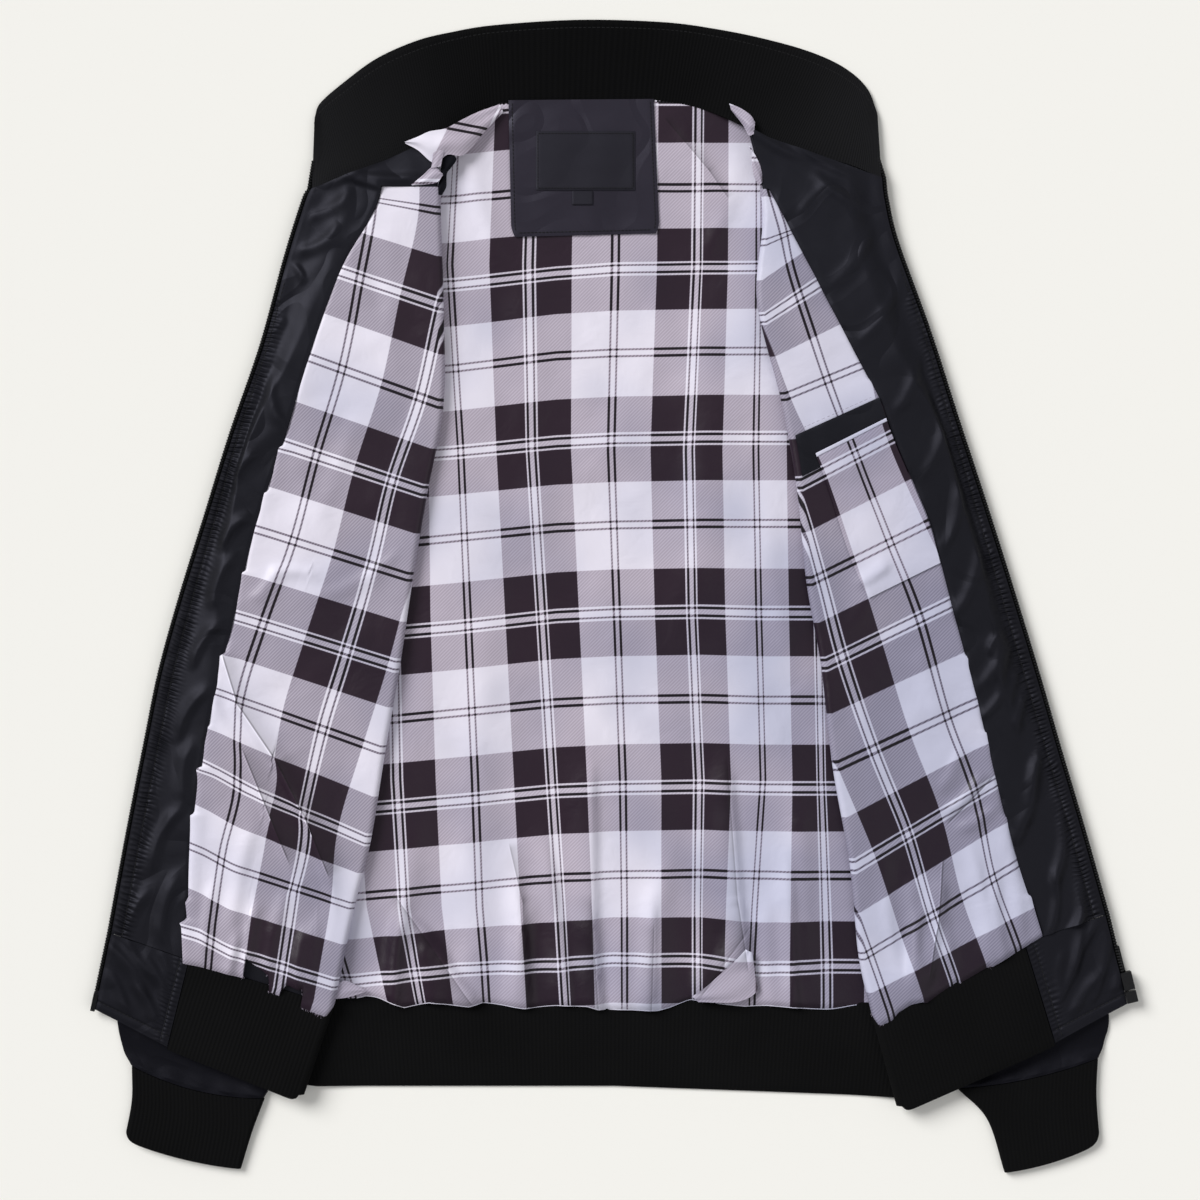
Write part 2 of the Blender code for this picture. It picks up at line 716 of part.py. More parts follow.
def sleeve(name, girths):
    """A flattened nylon sleeve, from the armhole to the cuff seam."""
    rows = []
    for place in SLEEVE_ROWS:
        row = Girth(*through(girths, place))
        rows.append(row._replace(height=max(row.height, SLEEVE_HEIGHT), bow=max(row.bow, 0)))
    lower = [flat_ring(row, SLEEVE_WALL, SLEEVE_ACROSS) for row in rows]
    upper = [flat_ring(row, 0, SLEEVE_ACROSS) for row in rows]
    return wall(name, lower, upper, NYLON, closed=True)


def cuff(name, girths):
    """A rib knit cuff, plain beneath and ribbed on top."""
    across = 2 * round(math.dist(girths[0][:2], girths[0][2:4]) / RIB_PITCH)
    lower = [flat_ring(row, RIB, across) for row in girths]
    upper = [flat_ring(row, 0, across, RIB_RIDGE) for row in girths]
    return wall(name, lower, upper, KNIT, closed=True)


def collar(name):
    """The stand-up rib collar, lying flat with its inner side up."""
    edges = [(band.edge_x, band.edge_y) for band in COLLAR]
    length = sum(math.dist(a, b) for a, b in zip(edges, edges[1:]))
    ribs = ribbed(round(length / RIB_PITCH), RIB_RIDGE)
    grids = []
    for above, rim in ((0, RIM_LOW), (RIB, RIM_HIGH)):
        neck, stitch, edge = [], [], []
        for part, ridge in ribs:
            band = Band(*through(COLLAR, part * (len(COLLAR) - 1)))
            raised = ridge if above else 0
            neck.append((band.neck_x, band.neck_y, max(band.neck_z, 0) + above + raised))
            stitch.append((
                band.neck_x + (band.edge_x - band.neck_x) * STITCH_PART,
                band.neck_y + (band.edge_y - band.neck_y) * STITCH_PART,
                max(band.neck_z, 0) * (1 - STITCH_PART) ** 1.5 + max(band.edge_z, 0) + above + raised,
            ))
            edge.append((band.edge_x, band.edge_y, max(band.edge_z, 0) + rim))
        grids.append([neck, stitch, edge])
    return wall(name, *grids, KNIT)


def on_back(name, corners, parts, above, thick, finish):
    """A flat patch on the back's lining. corners run left top, right top, left low, right low."""
    grids = []
    for height in (above, above + thick):
        grid = []
        for down in parts:
            row = []
            for along in parts:
                top = np.array(corners[0]) * (1 - along) + np.array(corners[1]) * along
                low = np.array(corners[2]) * (1 - along) + np.array(corners[3]) * along
                x, y = top * (1 - down) + low * down
                row.append((x, y, STACK + height))
            grid.append(row)
        grids.append(grid)
    return wall(name, *grids, finish)


def pocket_piece(name, places, starts, finish, over_band=False):
    """A strip or patch on the right front's lining, from its inner edge to the facing."""
    front = FRONTS["right"]
    grids = []
    for height in (STACK + BAND_GAP, STACK + BAND_GAP + LINING):
        grid = []
        for down in POCKET_PARTS:
            place = places[0] + (places[1] - places[0]) * down
            start = starts[0] + (starts[1] - starts[0]) * down
            width = front.seam_at(place) - POCKET_INSET - start
            raised = height + (over_the_band(down) if over_band else 0)
            grid.append([front.turned(place, start + part * width, raised) for part in POCKET_PARTS])
        grids.append(grid)
    return wall(name, *grids, finish)


def over_the_band(down):
    """How much higher the patch pocket lies where it hangs over the band."""
    return (LINING + GAP) * (1 - smooth((down - BAND_COVERED) / BAND_STEP))


def tuck(name, table):
    """The lining pinched up at the end of a shoulder, lying over the neck seam."""
    grids = []
    for thick in (0, TUCK_THICK):
        grid = []
        for row in table:
            middle = ((row.upper_x + row.lower_x) / 2, (row.upper_y + row.lower_y) / 2)
            grid.append([
                (row.upper_x, row.upper_y, row.z + thick),
                (*middle, row.z + TUCK_CROWN + thick),
                (row.lower_x, row.lower_y, row.z + thick),
            ])
        grids.append(grid)
    return wall(name, *grids, CHECK)


def zip_chain(name, front, end):
    """Half of the zip: its teeth and the edge of their tape, as one strip."""
    rings = []
    for place in [*BODY_ROWS, HEM, end]:
        edge = front.zip_at(place)
        rings.append([
            [front.turned(place, width, above) for width in (edge - CHAIN_WIDTH, edge)]
            for above in (CHAIN_LOW, CHAIN_HIGH)
        ])
    return wall(name, [ring[0] for ring in rings], [ring[1] for ring in rings], BLACK_TEETH)


def block(name, low, high):
    """A metal box between two corners, in its own frame."""
    (x1, y1, z1), (x2, y2, z2) = low, high
    points = [(x, y, z) for z in (z1, z2) for x, y in ((x1, y1), (x2, y1), (x2, y2), (x1, y2))]
    sides = [[side, (side + 1) % 4, 4 + (side + 1) % 4, 4 + side] for side in range(4)]
    return node(name, points, [[0, 1, 2, 3], [4, 5, 6, 7], *sides], BLACK_METAL)


def rod(name, radius, half, middle, height):
    """A round metal bar across the zip."""
    turns = [math.radians(360 * step / ROD_SIDES) for step in range(ROD_SIDES)]
    points = [
        (radius * math.cos(turn), middle + side * half, height + radius * math.sin(turn))
        for side in (-1, 1) for turn in turns
    ]
    near, far = list(range(ROD_SIDES)), list(range(ROD_SIDES, 2 * ROD_SIDES))
    sides = [
        [near[side - 1], near[side], far[side], far[side - 1]] for side in range(ROD_SIDES)
    ]
    return node(name, points, [near, far, *sides], BLACK_METAL)


def ring(name, radius, bore, half):
    """A metal ring round an axis across the zip."""
    turns = [math.radians(360 * step / ROD_SIDES) for step in range(ROD_SIDES)]
    inside, outside = (
        [[(size * math.cos(turn), side * half, size * math.sin(turn)) for turn in turns]
         for side in (-1, 1)]
        for size in (bore, radius)
    )
    return wall(name, inside, outside, BLACK_METAL, closed=True)


def join(whole, pieces, frame):
    """Adds the pieces to the whole, hides them, and hangs them all on the frame."""
    for piece in pieces:
        piece.hide_render = True
        piece.display_type = "WIRE"
        piece.parent = frame
        union = whole.modifiers.new(piece.name, "BOOLEAN")
        union.operation = "UNION"
        union.object = piece
    whole.parent = frame


def empty(name, location, rotation):
    made = bpy.data.objects.new(name, None)
    made.location = [METRE * value for value in location]
    made.rotation_euler = rotation
    bpy.context.scene.collection.objects.link(made)
    return made


def zip_frame(name, front, place):
    """An empty on the middle of the chain: its X runs up the zip and its Y points inwards."""
    below, here, over = (
        front.turned(at, front.zip_at(at) - CHAIN_WIDTH / 2, (CHAIN_LOW + CHAIN_HIGH) / 2)
        for at in (place + FRAME_STEP, place, place - FRAME_STEP)
    )
    return empty(name, here, (0, 0, math.atan2(over[1] - below[1], over[0] - below[0])))


def zip_slider():
    """The slider at the foot of the right half, and the pull that hangs on its bar beneath."""
    frame = zip_frame("slider_frame", FRONTS["right"], SLIDER_PLACE)
    half = SLIDER_LENGTH / 2
    web_start, web_end = SLIDER_WEB
    web_top = PLATE_HIGH - WEB_SHORT
    slider = block("zip_slider", (-half, -web_end, -web_top), (half, -web_start, web_top))
    parts = [
        block("slider_top", (-half, -SLIDER_OUTER, PLATE_LOW), (half, -SLIDER_INNER, PLATE_HIGH)),
        block("slider_foot", (-half, -SLIDER_OUTER, -PLATE_HIGH), (half, -SLIDER_INNER, -PLATE_LOW)),
        rod("slider_bar", BAR_RADIUS, POST_OUTER, PULL_MIDDLE, BAR_LEVEL),
    ]
    for name, start, end in (
        ("slider_post_out", -POST_OUTER, -POST_INNER), ("slider_post_in", POST_INNER, POST_OUTER),
    ):
        parts.append(block(
            name, (-POST_HALF, PULL_MIDDLE + start, BAR_LEVEL - POST_BELOW),
            (POST_HALF, PULL_MIDDLE + end, -PLATE_LOW - POST_ABOVE),
        ))
    join(slider, parts, frame)

    swing = empty("pull_axis", (0, PULL_MIDDLE, BAR_LEVEL), (0, math.radians(PULL_DROOP), 0))
    swing.parent = frame
    pull = ring("zip_pull", RING_RADIUS, RING_BORE, RING_HALF)
    thick = PULL_THICK / 2
    neck_start, neck_end = PULL_NECK
    blade = thick - BLADE_STEP
    join(pull, [
        block("pull_neck", (RING_BORE + RING_WEB, -RING_HALF, -thick), (neck_end, RING_HALF, thick)),
        block("pull_blade", (neck_start, -PULL_HALF, -blade), (PULL_LENGTH, PULL_HALF, blade)),
    ], swing)


def zip_ends():
    """The retainer box at the foot of the right half, and the pin at the foot of the left."""
    half = BOX_LENGTH / 2
    box = block("zip_box", (-half, -SLIDER_OUTER, -PLATE_HIGH), (half, -SLIDER_INNER, PLATE_HIGH))
    box.parent = zip_frame("box_frame", FRONTS["right"], BOX_PLACE)
    size = np.array([PIN_LENGTH, CHAIN_WIDTH, CHAIN_HIGH - CHAIN_LOW]) / 2
    pin = block("zip_pin", -size, size)
    pin.parent = zip_frame("pin_frame", FRONTS["left"], PIN_PLACE)


def build():
    for old in list(bpy.data.objects):
        bpy.data.objects.remove(old, do_unlink=True)
    for side, front in FRONTS.items():
        front_shell(f"front_shell_{side}", front)
        front_lining(f"front_lining_{side}", front)
        front_facing(f"front_facing_{side}", front)
        front_rib(f"hem_rib_{side}", front)
        hem_block(f"hem_block_{side}", front)
    lining_rows = [*BODY_ROWS, HEM + HEM_OVERHANG]
    back_wall("back_shell", 0, SHELL, [*BODY_ROWS, LAST_ROW], NYLON, soft=False, curl=True)
    back_wall("back_lining", SHELL + GAP, STACK, lining_rows, CHECK, soft=True, curl=False)
    back_rib("hem_rib_back")
    sleeve("sleeve_left", LEFT_SLEEVE)
    sleeve("sleeve_right", RIGHT_SLEEVE)
    cuff("cuff_left", LEFT_CUFF)
    cuff("cuff_right", RIGHT_CUFF)
    collar("collar")
    over_patch = PATCH_GAP + LINING + GAP
    on_back("neck_patch", PATCH_CORNERS, PATCH_PARTS, PATCH_GAP, LINING, NYLON)
    on_back("neck_label", LABEL_CORNERS, (0, 1), over_patch, LINING, NYLON)
    on_back("size_tab", TAB_CORNERS, (0, 1), over_patch, LINING, NYLON)
    pocket_piece("pocket_band", BAND_ROWS, BAND_STARTS, NYLON)
    pocket_piece("pocket_patch", POCKET_ROWS, POCKET_STARTS, CHECK, over_band=True)
    tuck("neck_tuck_left", LEFT_TUCK)
    tuck("neck_tuck_right", RIGHT_TUCK)
    zip_chain("zip_chain_left", FRONTS["left"], LEFT_CHAIN_END)
    zip_chain("zip_chain_right", FRONTS["right"], RIGHT_CHAIN_END)
    zip_slider()
    zip_ends()


build()
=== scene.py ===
"""A bomber jacket laid open on its back: cloth, knit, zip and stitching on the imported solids."""

import math
from functools import partial

import bpy
import numpy as np
from mathutils import Matrix, Vector


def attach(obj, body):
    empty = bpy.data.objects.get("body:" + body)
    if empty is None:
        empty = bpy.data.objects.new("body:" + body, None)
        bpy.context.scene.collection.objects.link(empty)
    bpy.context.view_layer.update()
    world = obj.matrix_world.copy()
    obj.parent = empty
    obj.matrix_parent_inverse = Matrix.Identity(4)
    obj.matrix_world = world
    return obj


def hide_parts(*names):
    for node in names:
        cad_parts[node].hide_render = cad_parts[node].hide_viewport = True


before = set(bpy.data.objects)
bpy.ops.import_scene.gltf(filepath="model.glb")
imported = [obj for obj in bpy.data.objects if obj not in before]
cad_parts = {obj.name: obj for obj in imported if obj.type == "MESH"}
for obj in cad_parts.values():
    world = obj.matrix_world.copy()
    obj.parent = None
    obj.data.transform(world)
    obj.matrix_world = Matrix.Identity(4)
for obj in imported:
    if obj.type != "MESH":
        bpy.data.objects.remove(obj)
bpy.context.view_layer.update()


# Sleeves: two tubes of thin black nylon, folded back beneath the body and flattened by it.
# Their gathered ends show below the hem, and the rest is seen only from beneath.

MM = 0.001
NYLON_THICK = 0.5
SLEEVE_LENGTH = 620

# Outer and inner edge, height, and how far the middle bows down the sleeve, in mm
LEFT_SLEEVE = [
    (-204, 255, -167, 247, 2.8, 0), (-224, 222, -148, 204, 2.8, 0), (-243, 170, -122, 142, 2.8, 0),
    (-268, 84, -112, 48, 2.8, 0), (-288, 8, -123, -30, 2.8, 0), (-308, -74, -153, -110, 2.8, 0),
    (-326, -156, -185, -188, 2.8, 0), (-340, -234, -213, -263, 2.8, 0),
    (-344, -286, -228, -313, 2.8, 0), (-340, -312, -236, -336, 2.8, 2),
    (-334, -324, -242, -347, 5.6, 6),
]
RIGHT_SLEEVE = [
    (178, 258, 142, 249, 2.8, 0), (196, 222, 121, 203, 2.8, 0), (215, 170, 94, 139, 2.8, 0),
    (242, 84, 86, 44, 2.8, 0), (265, 8, 99, -34, 2.8, 0), (287, -74, 132, -112, 2.8, 0),
    (308, -156, 166, -190, 2.8, 0), (327, -234, 199, -264, 2.8, 0), (342, -286, 222, -313, 2.8, 0),
    (339, -309, 232, -333, 2.8, 1), (335, -319, 237, -340, 5.6, 4),
]


def smooth(value):
    """0 to 1 with a soft start and end."""
    value = np.clip(value, 0, 1)
    return value * value * (3 - 2 * value)


def through(table, place):
    """The table's columns at fractional rows, on a curve through the rows."""
    rows = np.array(table, float)
    place = np.clip(np.asarray(place, float), 0, len(rows) - 1)
    row = np.minimum(place.astype(int), len(rows) - 2)
    part = (place - row)[..., None]
    longer = np.vstack([2 * rows[0] - rows[1], rows, 2 * rows[-1] - rows[-2]])
    before, start, end, after = (longer[row + step] for step in range(4))
    leave, arrive = (end - before) / 2, (after - start) / 2
    return (
        (2 * part ** 3 - 3 * part ** 2 + 1) * start + (part ** 3 - 2 * part ** 2 + part) * leave
        + (3 * part ** 2 - 2 * part ** 3) * end + (part ** 3 - part ** 2) * arrive
    )


def cloth(name, across, down, lay, thick, finish, tube=False):
    """A cloth piece: a grid whose face is laid out by lay, with its thickness behind the face.

    lay takes parts 0 to 1 across and down, and gives points and places on the weave, in mm.
    """
    bpy.ops.object.select_all(action="DESELECT")
    bpy.ops.mesh.primitive_grid_add(x_subdivisions=across, y_subdivisions=down, size=2)
    piece = bpy.context.object
    piece.name = name
    mesh = piece.data
    flat = np.empty(len(mesh.vertices) * 3)
    mesh.vertices.foreach_get("co", flat)
    flat = flat.reshape(-1, 3)
    points, weave = lay((flat[:, 0] + 1) / 2, (1 - flat[:, 1]) / 2)
    mesh.vertices.foreach_set("co", (np.asarray(points) * MM).ravel())
    corners = np.empty(len(mesh.loops), int)
    mesh.loops.foreach_get("vertex_index", corners)
    mesh.uv_layers[0].data.foreach_set("uv", np.asarray(weave)[corners].ravel())
    mesh.uv_layers[0].name = "weave"
    if tube:
        bpy.ops.object.mode_set(mode="EDIT")
        bpy.ops.mesh.select_all(action="SELECT")
        bpy.ops.mesh.remove_doubles(threshold=0.01 * MM)
        bpy.ops.mesh.normals_make_consistent(inside=False)
        bpy.ops.object.mode_set(mode="OBJECT")
    wall = piece.modifiers.new("wall", "SOLIDIFY")
    wall.thickness = thick * MM
    wall.offset = -1
    bpy.ops.object.modifier_apply(modifier=wall.name)
    bpy.ops.object.shade_smooth_by_angle(angle=math.radians(50))
    mesh.materials.clear()
    mesh.materials.append(finish)
    return piece


def dress(piece, slot, *nodes):
    """The piece moves with the jacket, and stands for these solids."""
    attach(piece, "jacket")
    if nodes:
        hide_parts(*nodes)
    return piece


class Value:
    """A socket of a material's nodes that adds and multiplies as a number does."""

    def __init__(self, tree, socket=None):
        self.tree, self.socket = tree, socket

    def node(self, kind, values=(), output=0, **settings):
        """A new node, with its settings first and then its sockets, as numbers or links."""
        made = self.tree.nodes.new("ShaderNode" + kind)
        for name, setting in settings.items():
            if name == "stops":
                ramp = made.color_ramp.elements
                while len(ramp) < len(setting):
                    ramp.new(1)
                for stop, (place, colour) in zip(ramp, setting):
                    stop.position, stop.color = place, (*colour, 1)
            else:
                setattr(made, name, setting)
        for name, value in dict(values).items():
            if isinstance(value, Value):
                self.tree.links.new(value.socket, made.inputs[name])
            else:
                made.inputs[name].default_value = value
        return Value(self.tree, made.outputs[output])

    def math(self, operation, first, second=0.0):
        return self.node("Math", {0: first, 1: second}, operation=operation)

    def __add__(self, other):
        return self.math("ADD", self, other)

    def __sub__(self, other):
        return self.math("SUBTRACT", self, other)

    def __rsub__(self, other):
        return self.math("SUBTRACT", other, self)

    def __mul__(self, other):
        return self.math("MULTIPLY", self, other)

    def __truediv__(self, other):
        return self.math("DIVIDE", self, other)

    __radd__ = __add__
    __rmul__ = __mul__

    def bend(self):
        """Distance from 0, either way."""
        return self.math("ABSOLUTE", self)

    def wave(self):
        """Its sine."""
        return self.math("SINE", self)

    def exp(self):
        return self.math("EXPONENT", self)

    def clamp(self):
        """Kept between 0 and 1."""
        return self.node("Clamp", {0: self})

    def over(self, edge, soft):
        """1 above the edge and 0 below a soft step that ends at it."""
        return ((self - edge) / soft + 1.0).clamp()

    def mix(self, low, high):
        """The colour low where this is 0 and high where it is 1."""
        colours = {0: self, 6: (*low, 1), 7: (*high, 1)}
        return self.node("Mix", colours, output=2, data_type="RGBA")

    def shades(self, colour, low, high):
        """The colour, from low times as bright to high times."""
        return self.mix(*([times * part for part in colour] for times in (low, high)))

    def brighter(self, colour, times):
        return self.node("VectorMath", {0: colour, "Scale": times}, operation="SCALE")

    def place(self):
        """The point's place in its object, in metres."""
        return self.node("TexCoord", output=3)

    def noise(self, scale, detail=2.0, distortion=0.0):
        """Soft noise through the object, finer at a greater scale."""
        return self.node("TexNoise", {
            "Vector": self.place(), "Scale": scale, "Detail": detail, "Distortion": distortion,
        })

    def xy(self):
        """A vector's first two parts."""
        first = self.node("SeparateXYZ", {0: self})
        return first, Value(self.tree, first.socket.node.outputs[1])


def new_material(name, roughness, **constants):
    """A material, its Principled node, and the start of its sums."""
    made = bpy.data.materials.new(name)
    made.use_nodes = True
    surface = made.node_tree.nodes["Principled BSDF"]
    surface.inputs["Roughness"].default_value = roughness
    for socket, value in constants.items():
        surface.inputs[socket.replace("_", " ")].default_value = value
    return made, surface, Value(made.node_tree)


def feed(surface, socket, value):
    surface.id_data.links.new(value.socket, surface.inputs[socket])


def feed_height(surface, height):
    """Small relief, in mm."""
    feed(surface, "Normal", height.node("Bump", {"Height": height, "Distance": MM}))


def weave_mm(start):
    """Places across and down the cloth, in mm, from its UV map."""
    return start.node("UVMap", uv_map="weave").xy()


def nylon(name, colour, roughness, crumple, pucker=0.0, gloss=0.25):
    """Thin nylon taffeta: a fine plain weave, soft creases and a satin shine. It puckers along a
    stitched line where its UV map's U is 0. Where it puckers, a painted highlight also makes
    its colour lighter towards the neck."""
    made, surface, start = new_material(
        name, roughness, Specular_IOR_Level=gloss, Specular_Tint=(0.80, 0.80, 1.0, 1),
    )
    along, down = weave_mm(start)
    broad, fine = start.noise(20.0, 1.5, 0.8), start.noise(75.0, 2.0, 0.5)
    bent = start.noise(17.0, 0.0, 1.2)
    near_neck = ((start.place().xy()[1] - 0.08) * 7.0).clamp()
    weave = (along * 12.0).wave() * (down * 12.0).wave()
    folds = start.math("MINIMUM", (bent - 0.5).bend(), 0.13) * (6.0 * crumple)
    height = broad * (1.6 * crumple) + fine * (0.3 * crumple) + weave * 0.012
    height = height + folds * (near_neck + 1.0)
    shine, tone = fine * 0.1 + (roughness - 0.05), broad * 0.45 + 0.78
    if pucker:
        drift = start.noise(48.0, 1.5)
        near = (along * along * -0.045).exp()
        ladder = (down * 2.0 + drift * 14.0).wave()
        height = height + ladder * near * (drift * 2.4 - 0.2) * pucker
        beyond = 1.0 - along.over(-1.0, 2.0)
        shine = shine + beyond * 0.14
        # Painted light: the colour is made lighter towards the neck, as if lit more there.
        tone = tone * (1.0 - beyond * 0.3) * (near_neck * 0.45 + 1.0)
    feed_height(surface, height)
    feed(surface, "Base Color", start.brighter(colour, tone))
    feed(surface, "Roughness", shine)
    return made


SLEEVE_NYLON = nylon("sleeve_nylon", (0.0022, 0.0022, 0.0034), 0.56, 0.8, gloss=0.12)


def tube_section(girths, around, down):
    """Lays a flattened tube out: over its top from the outer edge, and back beneath."""
    corners = [0, 0.04, 0.48, 0.52, 0.96, 1]
    row = through(girths, down * (len(girths) - 1))
    outer, inner, height, bow = row[:, 0:2], row[:, 2:4], row[:, 4], row[:, 5]
    half = height / 2
    width = np.linalg.norm(inner - outer, axis=1)
    way = (inner - outer) / width[:, None]
    turn = np.where(way[:, 0] > 0, 1, -1)[:, None]
    fall = np.stack([way[:, 1], -way[:, 0]], 1) * turn
    along = np.interp(around, corners, [0, 0, 1, 1, 0, 0])
    angle = np.radians(np.interp(around, corners, [180, 90, 90, -90, -90, -180]))
    lead = np.where(along > 0.5, 1, -1) * np.abs(np.cos(angle)) * half
    reach = half + along * (width - 2 * half) + lead
    spread = np.clip(reach / width, 0, 1)
    ground = outer + way * reach[:, None] + fall * (bow * 4 * spread * (1 - spread))[:, None]
    return ground, half + half * np.sin(angle), spread * width, angle


def sleeve_lay(girths, gathers, around, down):
    """The tube, with its lower end puffed out between the gathers."""
    ground, z, across, angle = tube_section(girths, around, down)
    top = np.clip(np.sin(angle), 0, 1)
    puff = smooth((down - 0.9) / 0.08) * (0.7 + 0.5 * np.sin(across / gathers + 4 * down))
    z = z + top * puff * 0.8 * smooth((1 - down) / 0.02)
    return np.column_stack([ground, z]), np.column_stack([across, down * SLEEVE_LENGTH])


for side, girths, gathers in (("left", LEFT_SLEEVE, 3.1), ("right", RIGHT_SLEEVE, 2.7)):
    sleeve = cloth(
        f"sleeve_{side}_cloth", 96, 150, partial(sleeve_lay, girths, gathers), NYLON_THICK,
        SLEEVE_NYLON, tube=True,
    )
    dress(sleeve, "nylon", f"sleeve_{side}")


# Cuffs: knitted tubes of black 1x1 rib, sewn to the sleeves' gathered ends.

RIB_PITCH, RIB_RISE = 2.75, 0.06
KNIT_THICK = 1.6
CUFF_LENGTH = 52
LEFT_CUFF = [
    (-333.4, -325, -241.6, -347.5, 5.6, 6), (-333.5, -349, -250, -370, 5.6, 4),
    (-338.5, -376, -258, -396, 5.4, 3),
]
RIGHT_CUFF = [
    (334.6, -319.6, 237.4, -340.6, 5.6, 4), (333.6, -346, 258, -362, 5.6, 3.5),
    (336, -378, 270, -398.6, 5.4, 3),
]


def rib_knit(name, colour, ends=None):
    """Dull rib knit: fine stitches along each rib, with a little fuzz. Towards a band's ends its
    colour
    can be painted paler, as painted light: ends has half its length, in mm, and how many times
    paler."""
    made, surface, start = new_material(
        name, 0.85, Sheen_Weight=0.008, Sheen_Roughness=0.6, Specular_IOR_Level=0.05,
    )
    across, down = weave_mm(start)
    ribs = (across * (2 * math.pi / RIB_PITCH)).wave()
    knots = (down * 4.4 + ribs * 1.2).wave()
    fuzz, soft = start.noise(900.0), start.noise(14.0)
    feed_height(surface, ribs * 0.07 + knots * 0.03 + fuzz * 0.10 + soft * 1.2)
    tone = soft.shades(colour, 0.7, 1.5)
    # Painted light: the colour grows paler towards the band's ends.
    if ends:
        out = (across - ends[0]).bend() / ends[0]
        tone = start.brighter(tone, out * out * (ends[1] - 1.0) + 1.0)
    feed(surface, "Base Color", tone)
    return made


CUFF_KNIT = rib_knit("cuff_knit", (0.0032, 0.0032, 0.0034))


def ribbed(width):
    """The ridges of the rib, in mm, at a distance across them."""
    return RIB_RISE * np.sin(width * 2 * math.pi / RIB_PITCH)


def cuff_lay(girths, around, down):
    """The tube, with its corners drawn in at the lower end."""
    across = tube_section(girths, around, down)[2]
    corner = np.exp(-np.minimum(across, across.max() - across) / 2.6)
    down = down - 0.11 * corner * smooth((down - 0.6) / 0.4)
    ground, z, across, angle = tube_section(girths, around, down)
    z = z + ribbed(across) * np.sin(angle)
    return np.column_stack([ground, z]), np.column_stack([across, down * CUFF_LENGTH])


for side, girths in (("left", LEFT_CUFF), ("right", RIGHT_CUFF)):
    lay = partial(cuff_lay, girths)
    cuff = cloth(f"cuff_{side}_knit", 300, 24, lay, KNIT_THICK, CUFF_KNIT, tube=True)
    dress(cuff, "rib_knit", f"cuff_{side}")


# Back and front shells: the nylon outside. Each front comes off the back at the side seam, runs
# inwards over the back, turns at a soft fold and lies open, out to the zip.

SHELL, LINING, GAP, LAY = 1.2, 1.0, 0.3, 0.8
STACK = SHELL + GAP + LINING
BODY_LIFT, LIFT_RUN, LIFT_MARGIN, LIFT_TOP_Y, LIFT_FADE_Y = 3.6, 60, 9, 262, 45
ROLL, ROLL_RUN = 0.8, 18
RETURN_TOP = 2 * STACK + LAY
EDGE_LEVEL, DROP_START, DROP_END = 4.4, 8, 12
CHAIN_WIDTH, CHAIN_LOW, CHAIN_HIGH = 3.0, 0.8, 3.0
ZIP_ROOM = CHAIN_WIDTH + GAP
HEM, HEM_BOTTOM = 10, 11
ROW_STEP = 60
ZIP_ENDS = {"left": 10.8, "right": 10.868}

# Points down each front, in mm: at its fold, its lining seam, its zip and its side seam. The rows
# are about ROW_STEP apart, and the last two are the hem's seam and its lower edge
LEFT_FRONT = [
    (-123, 317, -159, 300, -212, 280, -166, 277), (-123, 262, -163, 270, -216, 273, -172, 250),
    (-121, 199, -189, 222, -228, 235, -192, 199), (-121, 132, -210, 164, -245, 173, -218, 132),
    (-132, 72, -228, 104, -266, 112, -248, 72), (-142, 13, -247, 46, -283, 57, -261, 13),
    (-151, -48, -261, -14, -301, -1, -270, -48), (-161, -106, -274, -66, -315, -52, -275, -106),
    (-171, -168, -284, -119, -325, -101, -272, -168),
    (-182, -213, -292, -177, -337, -162, -262, -215),
    (-196, -281, -293, -251, -350, -232, -250, -276),
    (-218, -346, -308, -311, -361, -284, -242, -334),
]
RIGHT_FRONT = [
    (94, 323, 106, 317, 188, 288, 142, 285), (106, 266, 120, 265, 190, 273, 152, 252),
    (102, 204, 136, 228, 197, 244, 168, 204), (118, 137, 174, 160, 219, 183, 192, 137),
    (129, 77, 192, 110, 238, 124, 224, 77), (136, 10, 217, 50, 257, 66, 243, 10),
    (146, -47, 232, -5, 276, 6, 258, -47), (154, -117, 250, -73, 294, -53, 266, -117),
    (166, -186, 263, -128, 309, -105, 270, -186), (172, -248, 278, -184, 325, -159, 266, -248),
    (181, -288, 295, -235, 342, -219, 259, -278), (199, -354, 304, -308, 357, -280, 250, -322),
]
NECKLINE = [
    (-166, 277), (-145, 297), (-123, 317), (-100, 332), (-79, 341.5), (-26, 342.5), (28, 343.5),
    (60, 339), (94, 323), (118, 303), (142, 285),
]
HEM_SEAM = [(-250, -276), (-200, -277), (0, -279), (182, -281), (259, -278)]
HEM_EDGE = [(-242, -334), (-205, -339), (0, -339), (160, -345), (195, -347), (250, -322)]
NECK_REACH, HEM_REACH, FOLD_COVER, FOLD_FADE = 4.5, 6, 8, 30


def height_at(points, x):
    """y of a line that is given from left to right."""
    return np.interp(x, [point[0] for point in points], [point[1] for point in points])


def lift(x, y):
    """How far the sleeves beneath hold the body off the surface."""
    raised = []
    for sleeve, side in ((LEFT_SLEEVE, -1), (RIGHT_SLEEVE, 1)):
        rows = sorted(sleeve, key=lambda girth: girth[3])
        inner = np.interp(y, [girth[3] for girth in rows], [girth[2] for girth in rows])
        over = 1 - (side * (inner - x) - LIFT_MARGIN) / LIFT_RUN
        raised.append(np.where(side * x > 0, smooth(over), 0))
    return BODY_LIFT * sum(raised) * smooth((LIFT_TOP_Y + LIFT_FADE_Y - y) / LIFT_FADE_Y)


